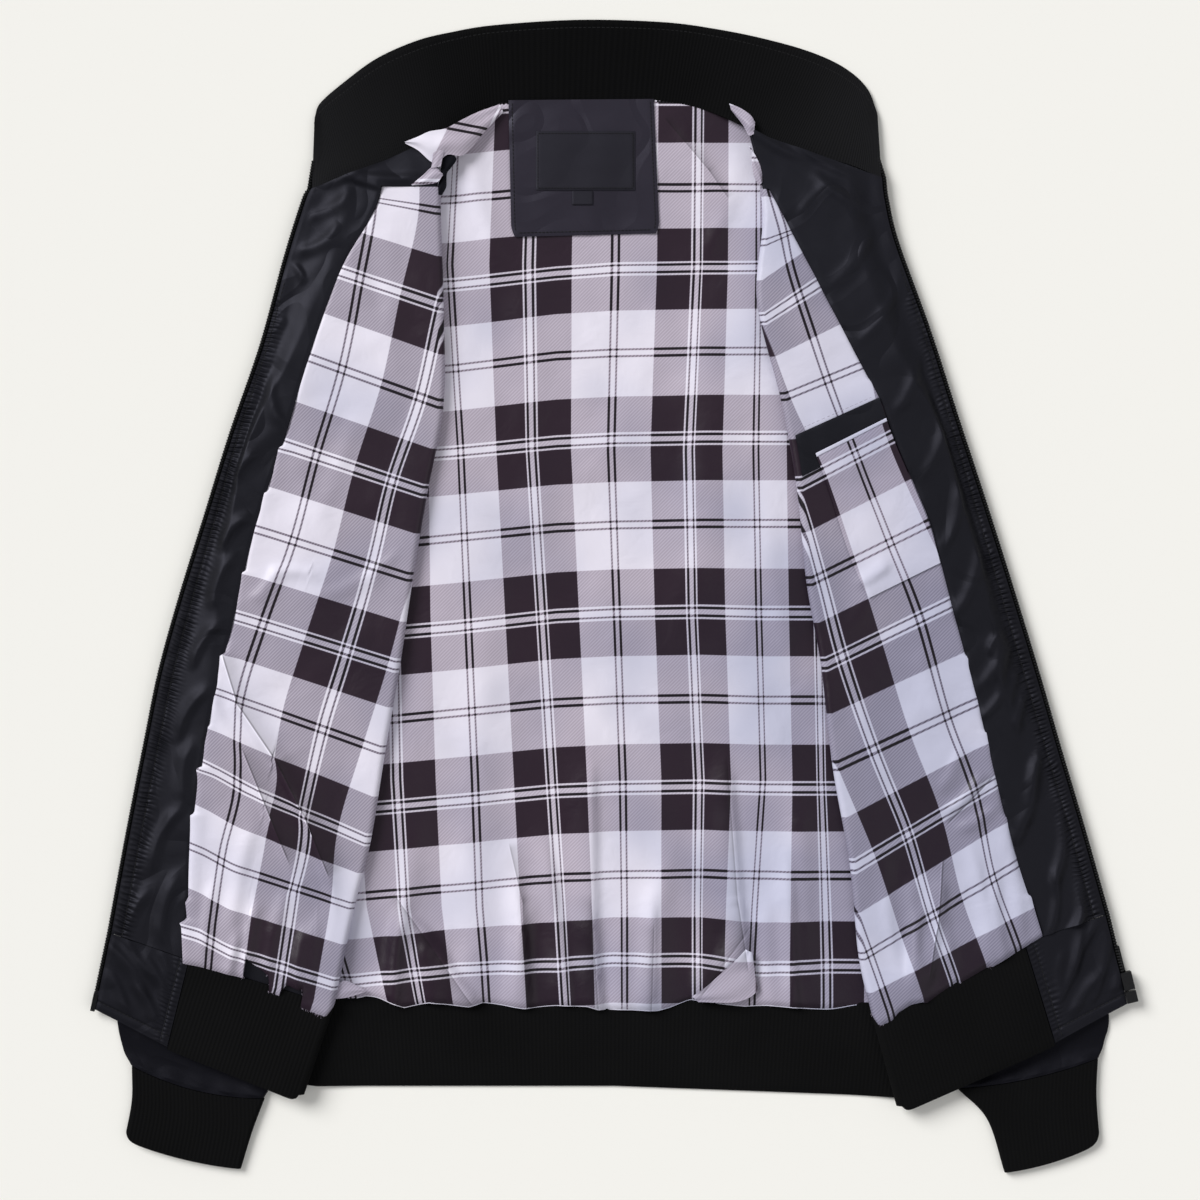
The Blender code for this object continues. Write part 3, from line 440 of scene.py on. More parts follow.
class Front:
    """One front: its rows are numbered down its length, and w runs in mm from its fold."""

    def __init__(self, rows, side):
        self.rows = np.array(rows, float)
        self.side = side

    def row(self, place):
        place = np.asarray(place, float)
        body = through(self.rows[:HEM + 1], np.minimum(place, HEM))
        below = np.maximum(place - HEM, 0)[..., None] * (self.rows[HEM + 1] - self.rows[HEM])
        return body + below

    def widths(self, place):
        """Distances from the fold to the lining's seam, to the zip, and to the side seam."""
        row = self.row(place)
        fold, seam, edge, side = (row[..., start:start + 2] for start in (0, 2, 4, 6))
        to_seam = np.linalg.norm(seam - fold, axis=-1)
        return (
            to_seam, to_seam + np.linalg.norm(edge - seam, axis=-1),
            np.linalg.norm(side - fold, axis=-1),
        )

    def roll(self, w):
        """Half the room inside the fold."""
        return LAY / 2 + ROLL * np.exp(-((w / ROLL_RUN) ** 2))

    def turned(self, place, w, above):
        """A point of the turned part, above the face that looks down."""
        row = self.row(place)
        fold, seam, edge = row[..., 0:2], row[..., 2:4], row[..., 4:6]
        to_seam, to_edge, to_side = self.widths(place)
        inner = (w / to_seam)[..., None]
        outer = ((w - to_seam) / (to_edge - to_seam))[..., None]
        ground = np.where(inner <= 1, fold + (seam - fold) * inner, seam + (edge - seam) * outer)
        start = to_side + DROP_START
        drop = smooth((w - start) / (to_edge - DROP_END - start))
        laid = lift(ground[..., 0], ground[..., 1]) + RETURN_TOP + 2 * self.roll(w)
        return np.column_stack([ground, laid + (EDGE_LEVEL - laid) * drop + above])

    def arc(self, line, height, radius, angle, way):
        """A point round a line at this height above the lift: 90 is its top, 0 its side."""
        turn = np.radians(angle)
        x, y = line[..., 0], line[..., 1]
        centre = lift(x, y) + height
        return np.column_stack([x + way * radius * np.cos(turn), y, centre + radius * np.sin(turn)])

    def round_fold(self, place, angle, above):
        """A point round the fold: -90 meets the tucked part and 90 meets the turned part."""
        half, fold = self.roll(0), self.row(place)[..., 0:2]
        return self.arc(fold, RETURN_TOP + half, half + above, angle, -self.side)

    def tucked(self, place, part, above):
        """A point between the fold, part 0, and the side seam, part 1."""
        row = self.row(place)
        ground = row[..., 0:2] + (row[..., 6:8] - row[..., 0:2]) * np.asarray(part)[..., None]
        return np.column_stack([ground, lift(*ground.T) + RETURN_TOP - above])

    def round_side(self, place, angle, above):
        """A point of the curl at the side seam: 90 meets the tucked part, -90 the back."""
        half, seam = RETURN_TOP / 2, self.row(place)[..., 6:8]
        return self.arc(seam, half, half - above, angle, self.side)

    def whole(self, place, run, above):
        """A point anywhere: run is -2 to -1 round the side, to 0 tucked, to 1 round the fold,
        to 2 out to the lining's seam and to 3 out to the zip's tape."""
        to_seam, to_edge, to_side = self.widths(place)
        beyond = to_edge - ZIP_ROOM - to_seam
        w = np.where(run < 2, (run - 1) * to_seam, to_seam + (run - 2) * beyond)
        point = self.turned(place, np.maximum(w, 0), above)
        spots = [
            (run < -1, self.round_side(place, 4 + (run + 2) * 86, above)),
            ((run >= -1) & (run < 0), self.tucked(place, np.clip(-run, 0, 1), above)),
            ((run >= 0) & (run < 1), self.round_fold(place, run * 180 - 90, above)),
        ]
        for here, spot in spots:
            point = np.where(here[:, None], spot, point)
        return point, np.select([run < 0, run < 1], [run * to_side - 4, run * 4 - 4], w)


FRONTS = {"left": Front(LEFT_FRONT, -1), "right": Front(RIGHT_FRONT, 1)}
LEFT, RIGHT = FRONTS["left"], FRONTS["right"]


def across_sides(place, x):
    """y at x on the straight line from one side seam to the other."""
    left, right = LEFT.row(place), RIGHT.row(place)
    part = (x - left[..., 6]) / (right[..., 6] - left[..., 6])
    return left[..., 7] + (right[..., 7] - left[..., 7]) * np.clip(part, 0, 1)


def back_y(place, x):
    """y of a back row: level rows that bend into the neckline above and the hem below."""
    body = np.minimum(place, HEM)
    crown = (height_at(NECKLINE, x) - across_sides(0, x)) * (1 - smooth(body / NECK_REACH))
    hang = height_at(HEM_SEAM, x) - across_sides(HEM, x)
    y = across_sides(body, x) + crown + hang * smooth((body - HEM_REACH) / (HEM - HEM_REACH))
    return y + np.maximum(place - HEM, 0) * (height_at(HEM_EDGE, x) - height_at(HEM_SEAM, x))


def shown(place, x):
    """1 where the back shows between the folds, 0 under the fronts."""
    inside = np.minimum(x - LEFT.row(place)[..., 0], RIGHT.row(place)[..., 0] - x)
    return smooth((inside - FOLD_COVER) / FOLD_FADE)


SHELL_NYLON = nylon("shell_nylon", (0.0042, 0.0042, 0.0056), 0.42, 0.5)
TOP_ROW, LAST_ROW = 0.02, HEM - 0.003


def back_shell_lay(across, down):
    place = TOP_ROW + down * (LAST_ROW - TOP_ROW)
    part = np.clip((across - 0.02) / 0.96, 0, 1)
    left, right = LEFT.row(place), RIGHT.row(place)
    x = right[:, 6] + (left[:, 6] - right[:, 6]) * part
    y = back_y(place, x)
    points = np.column_stack([x, y, lift(x, y)])
    left_curl = LEFT.round_side(place, -90 + (across - 0.98) / 0.02 * 86, 0)
    right_curl = RIGHT.round_side(place, -90 + (0.02 - across) / 0.02 * 86, 0)
    points = np.where((across > 0.98)[:, None], left_curl, points)
    points = np.where((across < 0.02)[:, None], right_curl, points)
    return points, np.column_stack([x, -place * ROW_STEP])


back_shell = cloth("back_shell_cloth", 150, 150, back_shell_lay, NYLON_THICK, SHELL_NYLON)
dress(back_shell, "nylon", "back_shell")


def front_shell_lay(front, across, down):
    place = TOP_ROW + down * (LAST_ROW - TOP_ROW)
    part = across if front.side < 0 else 1 - across
    run = np.interp(part, [0, 0.05, 0.4, 0.46, 0.8, 1], [-2, -1, 0, 1, 2, 3])
    points, width = front.whole(place, run, 0)
    return points, np.column_stack([width, -place * ROW_STEP])


for side, front in FRONTS.items():
    lay = partial(front_shell_lay, front)
    shell = cloth(f"front_shell_{side}_cloth", 110, 150, lay, NYLON_THICK, SHELL_NYLON)
    dress(shell, "nylon", f"front_shell_{side}")


# Linings: woven check of lavender white and purple black with a satin face, eased in, so that
# they lie in soft folds and hang a little over the rib at the hem.

LINING_THICK, RIM_THICK = 0.45, 0.4
BLOUSE, BLOUSE_START = 2.4, 9.0
BACK_RIB_STEP, FRONT_RIB_STEP = 59, 65

# A soft ridge or trough: from one end to the other, how far its middle bows, how wide it is on
# each side, seen from above to its left and its right as it runs, and its height
BACK_CREASES = [
    (-16, -125, -15, -225, 0, 4, 15, 2.8), (-15, -225, -10, -290, 0, 3, 13, 3.6),
    (78, -120, 86, -214, 0, 4, 13, 2.6), (86, -214, 92, -256, 0, 4, 12, 2.6),
    (-143, -222, -124, -244, -2, 4, 14, 2.4), (-122, -244, -97, -280, 1, 4, 15, 3.4),
    (60, -277, 95, -230, 0, 10, 5, 2), (-66, -205, -60, -285, 0, 3.5, 10, 3.2),
    (-46, -176, -32, -285, 0, 4, 9, 2.6), (26, -215, 24, -288, 0, 4, 9, 2.8),
    (120, -190, 124, -286, 0, 4, 10, 2.8), (-88, -20, -96, -290, 4, 14, 14, 1.8),
    (36, -180, 30, -290, 2, 9, 9, 1.8), (128, -150, 132, -290, 0, 11, 11, 2.2),
    (-140, -170, -150, -290, 0, 11, 11, 2), (-60, 190, -50, 20, 4, 13, 13, 1.2),
    (62, 190, 56, 10, -4, 14, 14, 1.2), (-58, -215, -70, -290, 3, 7, 7, 1.6),
    (6, -225, 4, -290, 0, 7, 7, 1.4), (106, -215, 110, -290, 2, 6, 6, 1.6),
    (60, -235, 62, -290, 0, 6, 6, 1.3), (-118, -235, -122, -290, 0, 6, 6, 1.4),
    (24, 120, -66, 40, 8, 16, 16, 1), (-20, 0, 84, -60, 10, 18, 18, 1),
    (-100, 300, -80, 236, 4, 8, 8, 1.6), (88, 300, 66, 240, -4, 8, 8, 1.4),
    (110, 60, 122, -40, 3, 9, 9, 1.3), (-124, 70, -134, -60, 3, 9, 9, 1.2),
    (50, 318, 78, 270, 2, 6, 9, 1.4), (-146, -214, -152, -290, 2, 5, 7, 3),
    (-132, -236, -126, -290, 0, 6, 5, 2.2),
]
LEFT_CREASES = [
    (-270, -38, -259, -76, 0, 7, 4, 2.6), (-259, -76, -233, -113, 0, 8, 4, 3),
    (-233, -113, -213, -152, 0, 9, 3, 3.4), (-214, -150, -187, -224, -3, 12, 4, 4.2),
    (-257, -104, -223, -186, 0, 9, 3, 2.4), (-187, -224, -194, -254, 2, 10, 4, 2.6),
    (-248, -2, -233, 17, 2, 4, 6, 1.6), (-233, 17, -206, 15, -1, 4, 5, 1.6),
    (-156, 22, -136, 40, 1, 4, 6, 1.8), (-200, 0, -156, 22, 2, 5, 7, 1.3),
    (-250, -160, -264, -245, 3, 6, 8, 2), (-286, -150, -288, -240, 3, 6, 7, 1.4),
    (-226, -205, -238, -262, 2, 5, 5, 1.6), (-205, -225, -208, -272, 0, 4, 5, 1.4),
    (-258, -232, -266, -262, 0, 4, 4, 2.2), (-214, -232, -218, -270, 1, 6, 4, 2.4),
    (-246, -214, -252, -262, 2, 5, 4, 2.4), (-274, -196, -282, -250, 2, 6, 5, 2.2),
    (-190, 262, -170, 200, 3, 7, 9, 1.4), (-152, 250, -150, 150, 3, 9, 9, 1.2),
    (-218, 95, -196, 40, 2, 8, 8, 1), (-178, 120, -200, 60, 0, 7, 7, 1),
    (-280, -60, -262, -100, 2, 4, 5, 1.2),
]
RIGHT_CREASES = [
    (231, -147, 251, -126, 2, 4, 5, 2.6), (238, -160, 262, -146, 1, 4, 5, 1.8),
    (225, -196, 222, -228, 0, 4, 9, 1.6), (222, -226, 216, -266, 0, 4, 9, 2),
    (212, -214, 204, -270, 2, 5, 5, 2), (262, -196, 268, -250, 2, 5, 5, 2),
    (226, -132, 238, -106, 1, 4, 6, 1.4), (226, -200, 232, -252, 2, 5, 7, 1.8),
    (246, -178, 258, -244, -2, 5, 6, 2), (268, -160, 280, -232, -2, 5, 6, 1.5),
    (205, -205, 212, -282, 1, 5, 5, 1.8), (186, -190, 196, -260, 2, 6, 6, 1.4),
    (168, 8, 188, 22, 1, 6, 4, 1.8), (150, -30, 178, 6, 3, 8, 8, 1.2),
    (120, 240, 136, 180, 2, 8, 8, 1.2), (140, 130, 176, 60, 3, 9, 9, 1),
    (160, -60, 186, -120, 3, 9, 9, 1.2), (210, -40, 226, -84, 2, 7, 7, 1.2),
]
# Sharp creases, painted into the check's colour: their line, with a painted highlight on its ridge
# and painted shade on its dark side to the left, how much cloth is tucked under on the other side,
# and how far that reaches, which also sets how far the painted shadow spreads, in mm
FRONT_PLEATS = [
    (-270, -39, -258.5, -77, 0, 10), (-259.5, -74, -233, -113, 0, 10),
    (-233.5, -112, -213, -152, 4.5, 34), (-214, -149, -196, -194, 5, 34),
    (-257, -103, -223, -186, 2, 24), (226, -180, 222, -230, 0, 10), (222, -226, 216, -264, 0, 10),
    (229, -158, 262, -124, 0, 10),
]
BACK_PLEATS = [
    (-124, -244, -152, -205, 0, 22), (-96, -284, -125, -243, 0, 30), (86, -216, 78, -110, 0, 16),
    (93, -260, 85.5, -208, 0, 26), (58, -280, 95, -228, 0, 22), (-10, -292, -16, -205, 0, 18),
    (-73, -171, -63, -214, 0, 14), (-63.5, -205, -60.5, -292, 0, 18), (26, -292, 28, -225, 0, 14),
    (34, 331, 67, 292, 0, 14), (64, 296, 79, 274, 0, 12),
]
LEFT_FACING_CREASES = [
    (-150, 311, -196, 284, -2, 4, 4, 1.6), (-180, 291, -137, 288, 2, 4, 5, 2.2),
    (-184, 288, -160, 281, 0, 4, 3, 1.6), (-210, 262, -182, 276, 2, 5, 6, 1.8),
    (-218, 238, -190, 254, 4, 5, 6, 1.8), (-228, 230, -214, 218, -3, 3, 5, 1.8),
    (-229, 190, -243, 172, 2, 4, 6, 2), (-236, 150, -228, 118, 3, 4, 6, 1.6),
    (-246, 98, -262, 80, 2, 4, 6, 2), (-252, 54, -270, 34, 3, 4, 6, 2.2),
    (-262, 26, -276, -4, 3, 4, 6, 1.8), (-272, -20, -290, -46, 3, 4, 6, 2),
    (-282, -66, -300, -96, 3, 4, 6, 1.8), (-292, -104, -296, -142, 3, 5, 7, 2),
    (-300, -148, -318, -186, 4, 4, 6, 2), (-302, -196, -312, -236, 3, 5, 7, 2),
    (-322, -205, -338, -232, 2, 4, 5, 1.6), (-334, -252, -312, -300, -4, 4, 6, 1.8),
    (-316, -250, -302, -290, -3, 5, 5, 1.4), (-346, -262, -334, -292, -2, 4, 5, 1.4),
]
RIGHT_FACING_CREASES = [
    (90, 325, 128, 302, 2, 4, 5, 1.8), (124, 312, 160, 291, 2, 4, 4, 1.8),
    (140, 288, 168, 270, 2, 5, 5, 1.6), (128, 262, 150, 284, -2, 5, 6, 1.4),
    (176, 250, 152, 214, -3, 5, 6, 1.8), (196, 214, 172, 178, -3, 5, 6, 1.8),
    (210, 166, 196, 128, -3, 5, 6, 1.6), (228, 120, 214, 84, -3, 5, 6, 1.6),
    (238, 74, 228, 34, -3, 4, 6, 1.8), (252, 30, 236, -12, -3, 5, 6, 1.8),
    (268, -26, 254, -62, -3, 5, 6, 2), (276, -32, 265, -62, 2, 4, 5, 2),
    (282, -48, 272, -76, 2, 4, 5, 1.8), (286, -66, 278, -92, 2, 4, 5, 1.8),
    (266, -26, 258, -39, 2, 3, 4, 1.6), (270, -61, 253, -84, -2, 4, 5, 1.8),
    (328, -212, 312, -235, -2, 4, 5, 2), (296, -106, 288, -134, 2, 4, 6, 2),
    (292, -118, 276, -170, -3, 5, 7, 2), (310, -150, 304, -198, -3, 5, 6, 2.2),
    (324, -180, 316, -240, -3, 4, 6, 2), (304, -190, 300, -236, -3, 4, 5, 1.6),
    (324, -235, 307, -282, -2, 5, 6, 2), (344, -246, 328, -284, -2, 4, 6, 1.8),
    (332, -238, 316, -290, -3, 3, 5, 1.6),
]


def creased(creases, x, y, width=1.0):
    """How far the creases, at this share of their width, raise the cloth at each point."""
    raised = np.zeros_like(x)
    for x1, y1, x2, y2, bow, left, right, height in creases:
        run = np.array([x2 - x1, y2 - y1], float)
        length = np.linalg.norm(run)
        along = ((x - x1) * run[0] + (y - y1) * run[1]) / length ** 2
        across = ((x - x1) * run[1] - (y - y1) * run[0]) / length
        part = np.clip(along, 0, 1)
        off = across - bow * 4 * part * (1 - part)
        ends = smooth((along + 0.25) / 0.45) * smooth((1.25 - along) / 0.45)
        raised += height * ends * np.exp(-((off / (width * np.where(off > 0, right, left))) ** 2))
    return raised


def rumple(x, y, size, seed):
    """Low, smooth unevenness of about this size, from -1 to 1."""
    turns = np.random.default_rng(seed)
    total = np.zeros_like(x)
    for _ in range(7):
        angle, phase = turns.uniform(0, 2 * math.pi, 2)
        wave = size * turns.uniform(0.7, 1.5)
        total += np.sin((x * math.cos(angle) + y * math.sin(angle)) * 2 * math.pi / wave + phase)
    return total / 4


def back_relief(x, y, place):
    soft = 1.55 * creased(BACK_CREASES, x, y)
    soft += 0.5 * rumple(x, y, 46, 3) + 0.25 * rumple(x, y, 21, 4)
    return np.maximum(soft, -0.8) * shown(place, x) * smooth(place / 0.5)


def front_relief(x, y):
    lining = creased(LEFT_CREASES + RIGHT_CREASES, x, y)
    soft = 1.15 * lining + 0.6 * rumple(x, y, 44, 5) + 0.2 * rumple(x, y, 20, 6)
    return np.maximum(soft, -0.7)


# Where the check's lines cross the back, in mm: y, then x of each line from left to right
BACK_WARP = [
    (345, -133, -108, -56, 2, 59, 100, 140), (229, -148, -114, -59, 1, 58, 100, 140),
    (101, -150, -106, -57, -2, 52, 98, 140), (-12, -152, -101, -50, 2, 54, 100, 141),
    (-127, -150, -96, -43, 6, 59, 103, 143), (-215, -145, -93, -37, 7, 58, 97, 146),
    (-251, -139, -90, -35, 7, 58, 95, 147), (-285, -133, -88, -33, 7, 58, 95, 147),
]
WARP_LINES = range(-120, 241, 60)
BACK_WEFT = [
    (-180, 330, 270, 210, 151, 94, 33, -28, -88, -148, -208, -266, -326),
    (-110, 335, 274, 215, 157, 99, 40, -22, -81, -142, -202, -258, -318),
    (-40, 342, 281, 223, 166, 106, 47, -14, -74, -135, -195, -255, -315),
    (0, 344, 282, 226, 168, 108, 49, -12, -72, -133, -193, -251, -311),
    (60, 344, 282, 227, 169, 109, 50, -11, -71, -132, -192, -252, -312),
    (100, 344, 282, 227, 169, 109, 50, -12, -72, -133, -193, -258, -318),
    (147, 344, 282, 227, 169, 109, 50, -12, -72, -133, -193, -256, -316),
]
WEFT_LINES = range(-120, 541, 60)
HALF_REPEAT, BAR_EDGE = 60.0, 30.0


def between_lines(spots, marks, value):
    """The mark at a value between the spots of that point's own row of lines."""
    spots = np.asarray(spots, float)
    marks = np.asarray(marks, float)
    rising = spots[:, -1] > spots[:, 0]
    spots = np.where(rising[:, None], spots, -spots)
    value = np.where(rising, value, -value)
    cell = np.clip((spots < value[:, None]).sum(1) - 1, 0, len(marks) - 2)
    rows = np.arange(len(value))
    start, end = spots[rows, cell], spots[rows, cell + 1]
    return marks[cell] + (marks[cell + 1] - marks[cell]) * (value - start) / (end - start)


def back_weave(x, y):
    def lines_at(table, value):
        table = np.array(table, float)
        return np.stack([np.interp(value, table[:, 0], column) for column in table[:, 1:].T], 1)

    return np.column_stack([
        between_lines(lines_at(BACK_WARP[::-1], y), WARP_LINES, x),
        between_lines(lines_at(BACK_WEFT, x), WEFT_LINES, y),
    ])


def check_cloth(name, mixed, pleats, crisp):
    """The woven check: bars and fine lines both ways, of the mixed colour where one is dark.
    Each pleat hides some of the weave. Its shading is painted into the colour: a painted highlight
    on its ridge and a painted dark line at its fold, as strong as crisp says, and painted shadow
    beyond it."""
    made, surface, start = new_material(
        name, 0.42, Sheen_Weight=0.04, Sheen_Roughness=0.35, Specular_IOR_Level=0.28,
    )
    warp, weft = weave_mm(start)
    flat, rise = start.place().xy()
    pleat_painted_light = 1.0
    for x1, y1, x2, y2, hidden, fade in pleats:
        length = math.hypot(x2 - x1, y2 - y1)
        way = ((x2 - x1) / length, (y2 - y1) / length)
        x, y = flat / MM - x1, rise / MM - y1
        inside = (x * (way[0] / length) + y * (way[1] / length)).clamp()
        off = x * way[1] - y * way[0]
        beyond = off.over(0.0, 0.3)
        ends = inside * (1.0 - inside) * 4.0
        line = start.math("MINIMUM", ends * 3.0, 1.0)
        # Painted light: a pale line on the ridge, a dark line at the fold, and a painted shadow
        # fading beyond it.
        ridge = 1.0 - (off - 0.45).bend().over(0.5, 0.5)
        fold = 1.0 - (off + 0.75).bend().over(0.7, 0.7)
        shadow = (1.0 - beyond) * (start.math("MINIMUM", off, 0.0) * (3.0 / fade)).exp()
        pleat_painted_light = pleat_painted_light + line * ((ridge * 0.3 - fold * 0.4) * crisp - shadow * 0.34)
        if hidden:
            gone = ends * beyond * (start.math("MAXIMUM", off, 0.0) / -fade).exp() * hidden
            warp, weft = warp + gone, weft + gone * 0.2

    def bars(along):
        """Distance from the middle of the nearest dark bar, and 1 on that bar."""
        wrapped = start.math("FLOORED_MODULO", along + HALF_REPEAT, 2 * HALF_REPEAT)
        dark = (wrapped - HALF_REPEAT).bend()
        return dark, 1.0 - dark.over(BAR_EDGE, 0.5)

    def threads(here, crossing):
        """How dark these threads are, and how much of a white line shows."""
        dark, bar = here
        half = crossing[1] * 0.22 + 0.96
        fine = 1.0 - ((dark - 2.7).bend() - half).over(0.0, 0.5)
        twin = 1.0 - ((HALF_REPEAT - dark - 2.4).bend() - half).over(0.0, 0.5)
        trio = 1.0 - dark.over(5.2, 0.5)
        lines = start.math("MAXIMUM", fine, twin) * 1.25
        shade = start.math("MAXIMUM", bar * 0.88 * (1.0 - trio), lines)
        return shade, (1.0 - shade) * trio * (dark.over(3.2, 0.6) * 0.14 + 0.06)

    warp_bars, weft_bars = bars(warp), bars(weft)
    up, up_white = threads(warp_bars, weft_bars)
    over, over_white = threads(weft_bars, warp_bars)
    twill = ((flat - rise) * (2 * math.pi / (2.45 * MM))).wave()
    shade = (up + over) * 0.5 + (up - over) * twill * 0.10 - (up_white + over_white)
    colour = start.node("ValToRGB", {0: shade}, stops=[
        (0.0, (0.73, 0.715, 0.80)), (0.5, mixed), (0.86, (0.021, 0.0095, 0.0195)),
        (1.0, (0.005, 0.003, 0.006)),
    ])
    # Painted sheen and shade: besides random tone from the noise, the cloth is painted cooler and
    # darker towards its sides, the viewer's right and the hem.
    cast = (start.noise(13.0, 1.0) - 0.5) * 2.2 + flat * 2.0 + (flat.bend() - 0.13) * 1.4
    tint = (cast - rise * 0.9 + 0.40).clamp().mix((1.05, 1.02, 1.03), (0.69, 0.71, 0.80))
    tinted = start.node("VectorMath", {0: colour, 1: tint}, operation="MULTIPLY")
    feed(surface, "Base Color", start.brighter(tinted, pleat_painted_light))
    soft, yarns = start.noise(38.0, 3.0, 0.5), ((warp - weft) * 9.0).wave()
    feed_height(surface, soft * 1.1 + yarns * 0.012)
    return made


CHECK = check_cloth("check_lining", (0.395, 0.35, 0.42), BACK_PLEATS, 0.3)
# The fronts' copy of the check has a darker mauve than the back's: painted shade on the same cloth.
PLEATED_CHECK = check_cloth("check_lining_pleated", (0.30, 0.27, 0.335), FRONT_PLEATS, 1.0)


# Where the back lining's free edge hangs, in mm
BACK_HEM = [
    (-215, -277), (-192, -277.4), (-172, -273.2), (-168, -274.6), (-143, -282.9), (-127, -279.4),
    (-99, -282.2), (-90, -279.4), (-61, -283.6), (-40, -281.6), (-18, -282.2), (-11, -284.3),
    (30, -285), (38, -283), (53, -277.4), (72, -280.5), (90, -282.2), (106, -281.5), (135, -283.6),
    (173, -285), (230, -285),
]


def hem_roll(place, end):
    """How far the lining's hanging edge rounds down to the rib."""
    return 2.2 * np.clip((place - (end - 0.07)) / 0.07, 0, 1) ** 2


def back_lining_lay(across, down):
    part = np.interp(across, [0, 0.09, 0.91, 1], [0, 1, 2, 3])
    cell, rows = np.minimum(part.astype(int), 2), np.arange(len(part))

    def x_at(place):
        left, right = LEFT.row(place), RIGHT.row(place)
        stops = np.stack([left[:, 6], left[:, 0], right[:, 0], right[:, 6]], 1)
        start, end = stops[rows, cell], stops[rows, cell + 1]
        return start + (end - start) * (part - cell)

    foot = x_at(np.full_like(down, HEM))
    hangs = (height_at(HEM_SEAM, foot) - height_at(BACK_HEM, foot)) / BACK_RIB_STEP
    end = HEM + 0.02 + hangs * shown(np.full_like(down, LAST_ROW), foot)
    place = TOP_ROW + down * (end - TOP_ROW)
    x = x_at(place)
    hidden = np.minimum(place, LAST_ROW)
    free = shown(hidden, x)
    at = hidden + (place - hidden) * (free > 0.02)
    y = back_y(at, x)
    uneven = 1 + 0.2 * np.sin(x / 5.7) * smooth((place - 9.3) / 0.7)
    puff = BLOUSE * smooth((place - BLOUSE_START) / 0.9) * free * uneven
    z = lift(x, y) + STACK + puff - hem_roll(place, end) * free + back_relief(x, y, at)
    return np.column_stack([x, y, z]), back_weave(x, y)


back_lining = cloth("back_lining_cloth", 176, 260, back_lining_lay, LINING_THICK, CHECK)
dress(back_lining, "checked_lining", "back_lining")


def back_rim_lay(across, down):
    """A narrow rolled rim under the lining's free edge."""
    points = back_lining_lay(0.13 + across * 0.75, np.ones_like(down))[0]
    points[:, 1] += 0.4 - 0.9 * down
    points[:, 2] += 0.3 * np.sin(down * math.pi) - 0.2
    return points, np.column_stack([across * 5 + 76, down * 2 + 78])


rim = cloth("back_lining_rim", 300, 4, back_rim_lay, RIM_THICK, CHECK)
dress(rim, "checked_lining")


# Where the check lies on each front: its row's place on the weave, and the distances from the
# fold to a single dark bar's middle and to the light bar's middle further out, in mm
LEFT_CHECK = [
    (0, -18, 44), (63.5, -20, 44), (121, -2, 57), (180, 13, 70.5), (240, 22, 77), (300, 26, 82.5),
    (360, 34.5, 95), (420, 42, 102), (480, 46, 97.5), (540, 40, 94), (616, 36, 87),
]
RIGHT_CHECK = [
    (0, -58, 2), (37, -54, 6), (105, -33, 26), (180, -25, 31), (240, -6, 42), (300, 7, 60),
    (360, 12, 71.5), (420, 27, 82.5), (480, 42, 96), (540, 54, 103.5), (590, 58, 107),
]

# How far the fronts' linings hang below the rib's seam, in mm, from the fold, 0, to the facing, 1
LEFT_HEM = [
    (0, 7.8), (0.178, 7.3), (0.19, -5), (0.22, -3.5), (0.3, -4.5), (0.325, -2.5), (0.335, 4),
    (0.42, 3.4), (0.435, -6), (0.47, -8), (0.6, -12.5), (0.608, -0.4), (0.8, 1), (1, 1.6),
]
RIGHT_HEM = [
    (0, 7), (0.07, 7), (0.12, 4), (0.2, 3), (0.268, 4.6), (0.28, 6.4), (0.475, 2.4), (0.49, 4),
    (0.675, 1.6), (0.69, 3), (1, -1),
]
# Where the linings bulge out over the facings: y, how far, and how soon that fades below, in mm
LEFT_BULGES = [
    (104, 2.5, 16), (73, 2.8, 16), (18, 3.2, 16), (-39, 3.6, 14), (-88, 1.6, 16), (-117, 4.8, 9),
    (-149, 3, 16), (-208, 2.6, 16), (-222, 5.2, 90), (-223, 8, 9),
]
RIGHT_BULGES = [
    (150, 1.5, 16), (86, 1.6, 16), (-40, 2.6, 16), (-92, 2.4, 16), (-150, 1.6, 16), (-205, 2, 16),
]
# The row at which each front's lining starts, by its side, and a point and the slope of the edge
# that the right one's top runs along
LINING_TOP = {-1: 0.655, 1: 0.76}
SLANT_X, SLANT_Y, SLANT = 107, 279.5, 0.524


def lining_share(front, place):
    """How much of the width to the lining's seam is lining: the viewer's right one comes to a
    point at its top, where the facing covers it along a straight line."""
    row = front.row(place)
    fold, seam = row[..., 0:2], row[..., 2:4]
    reach = SLANT_X + SLANT * (SLANT_Y - fold[..., 1]) - fold[..., 0]
    share = reach / (seam[..., 0] - fold[..., 0] + SLANT * (seam[..., 1] - fold[..., 1]))
    return np.where((front.side > 0) & (place < 4), np.clip(share, 0.03, 1), 1.0)


def front_weave(front, checks, place, w):
    """Both fronts' linings are cut the same way up, so the twill runs one way on all of them."""
    row = through(checks, place)
    seam = front.widths(place)[0]
    tilt = 5.5 * smooth((w / seam - 0.7) / 0.3) * smooth((place - 6.5) / 3) * (front.side < 0)
    return np.column_stack([
        (w - row[:, 1]) / (row[:, 2] - row[:, 1]) * HALF_REPEAT, front.side * (row[:, 0] + tilt),
    ])


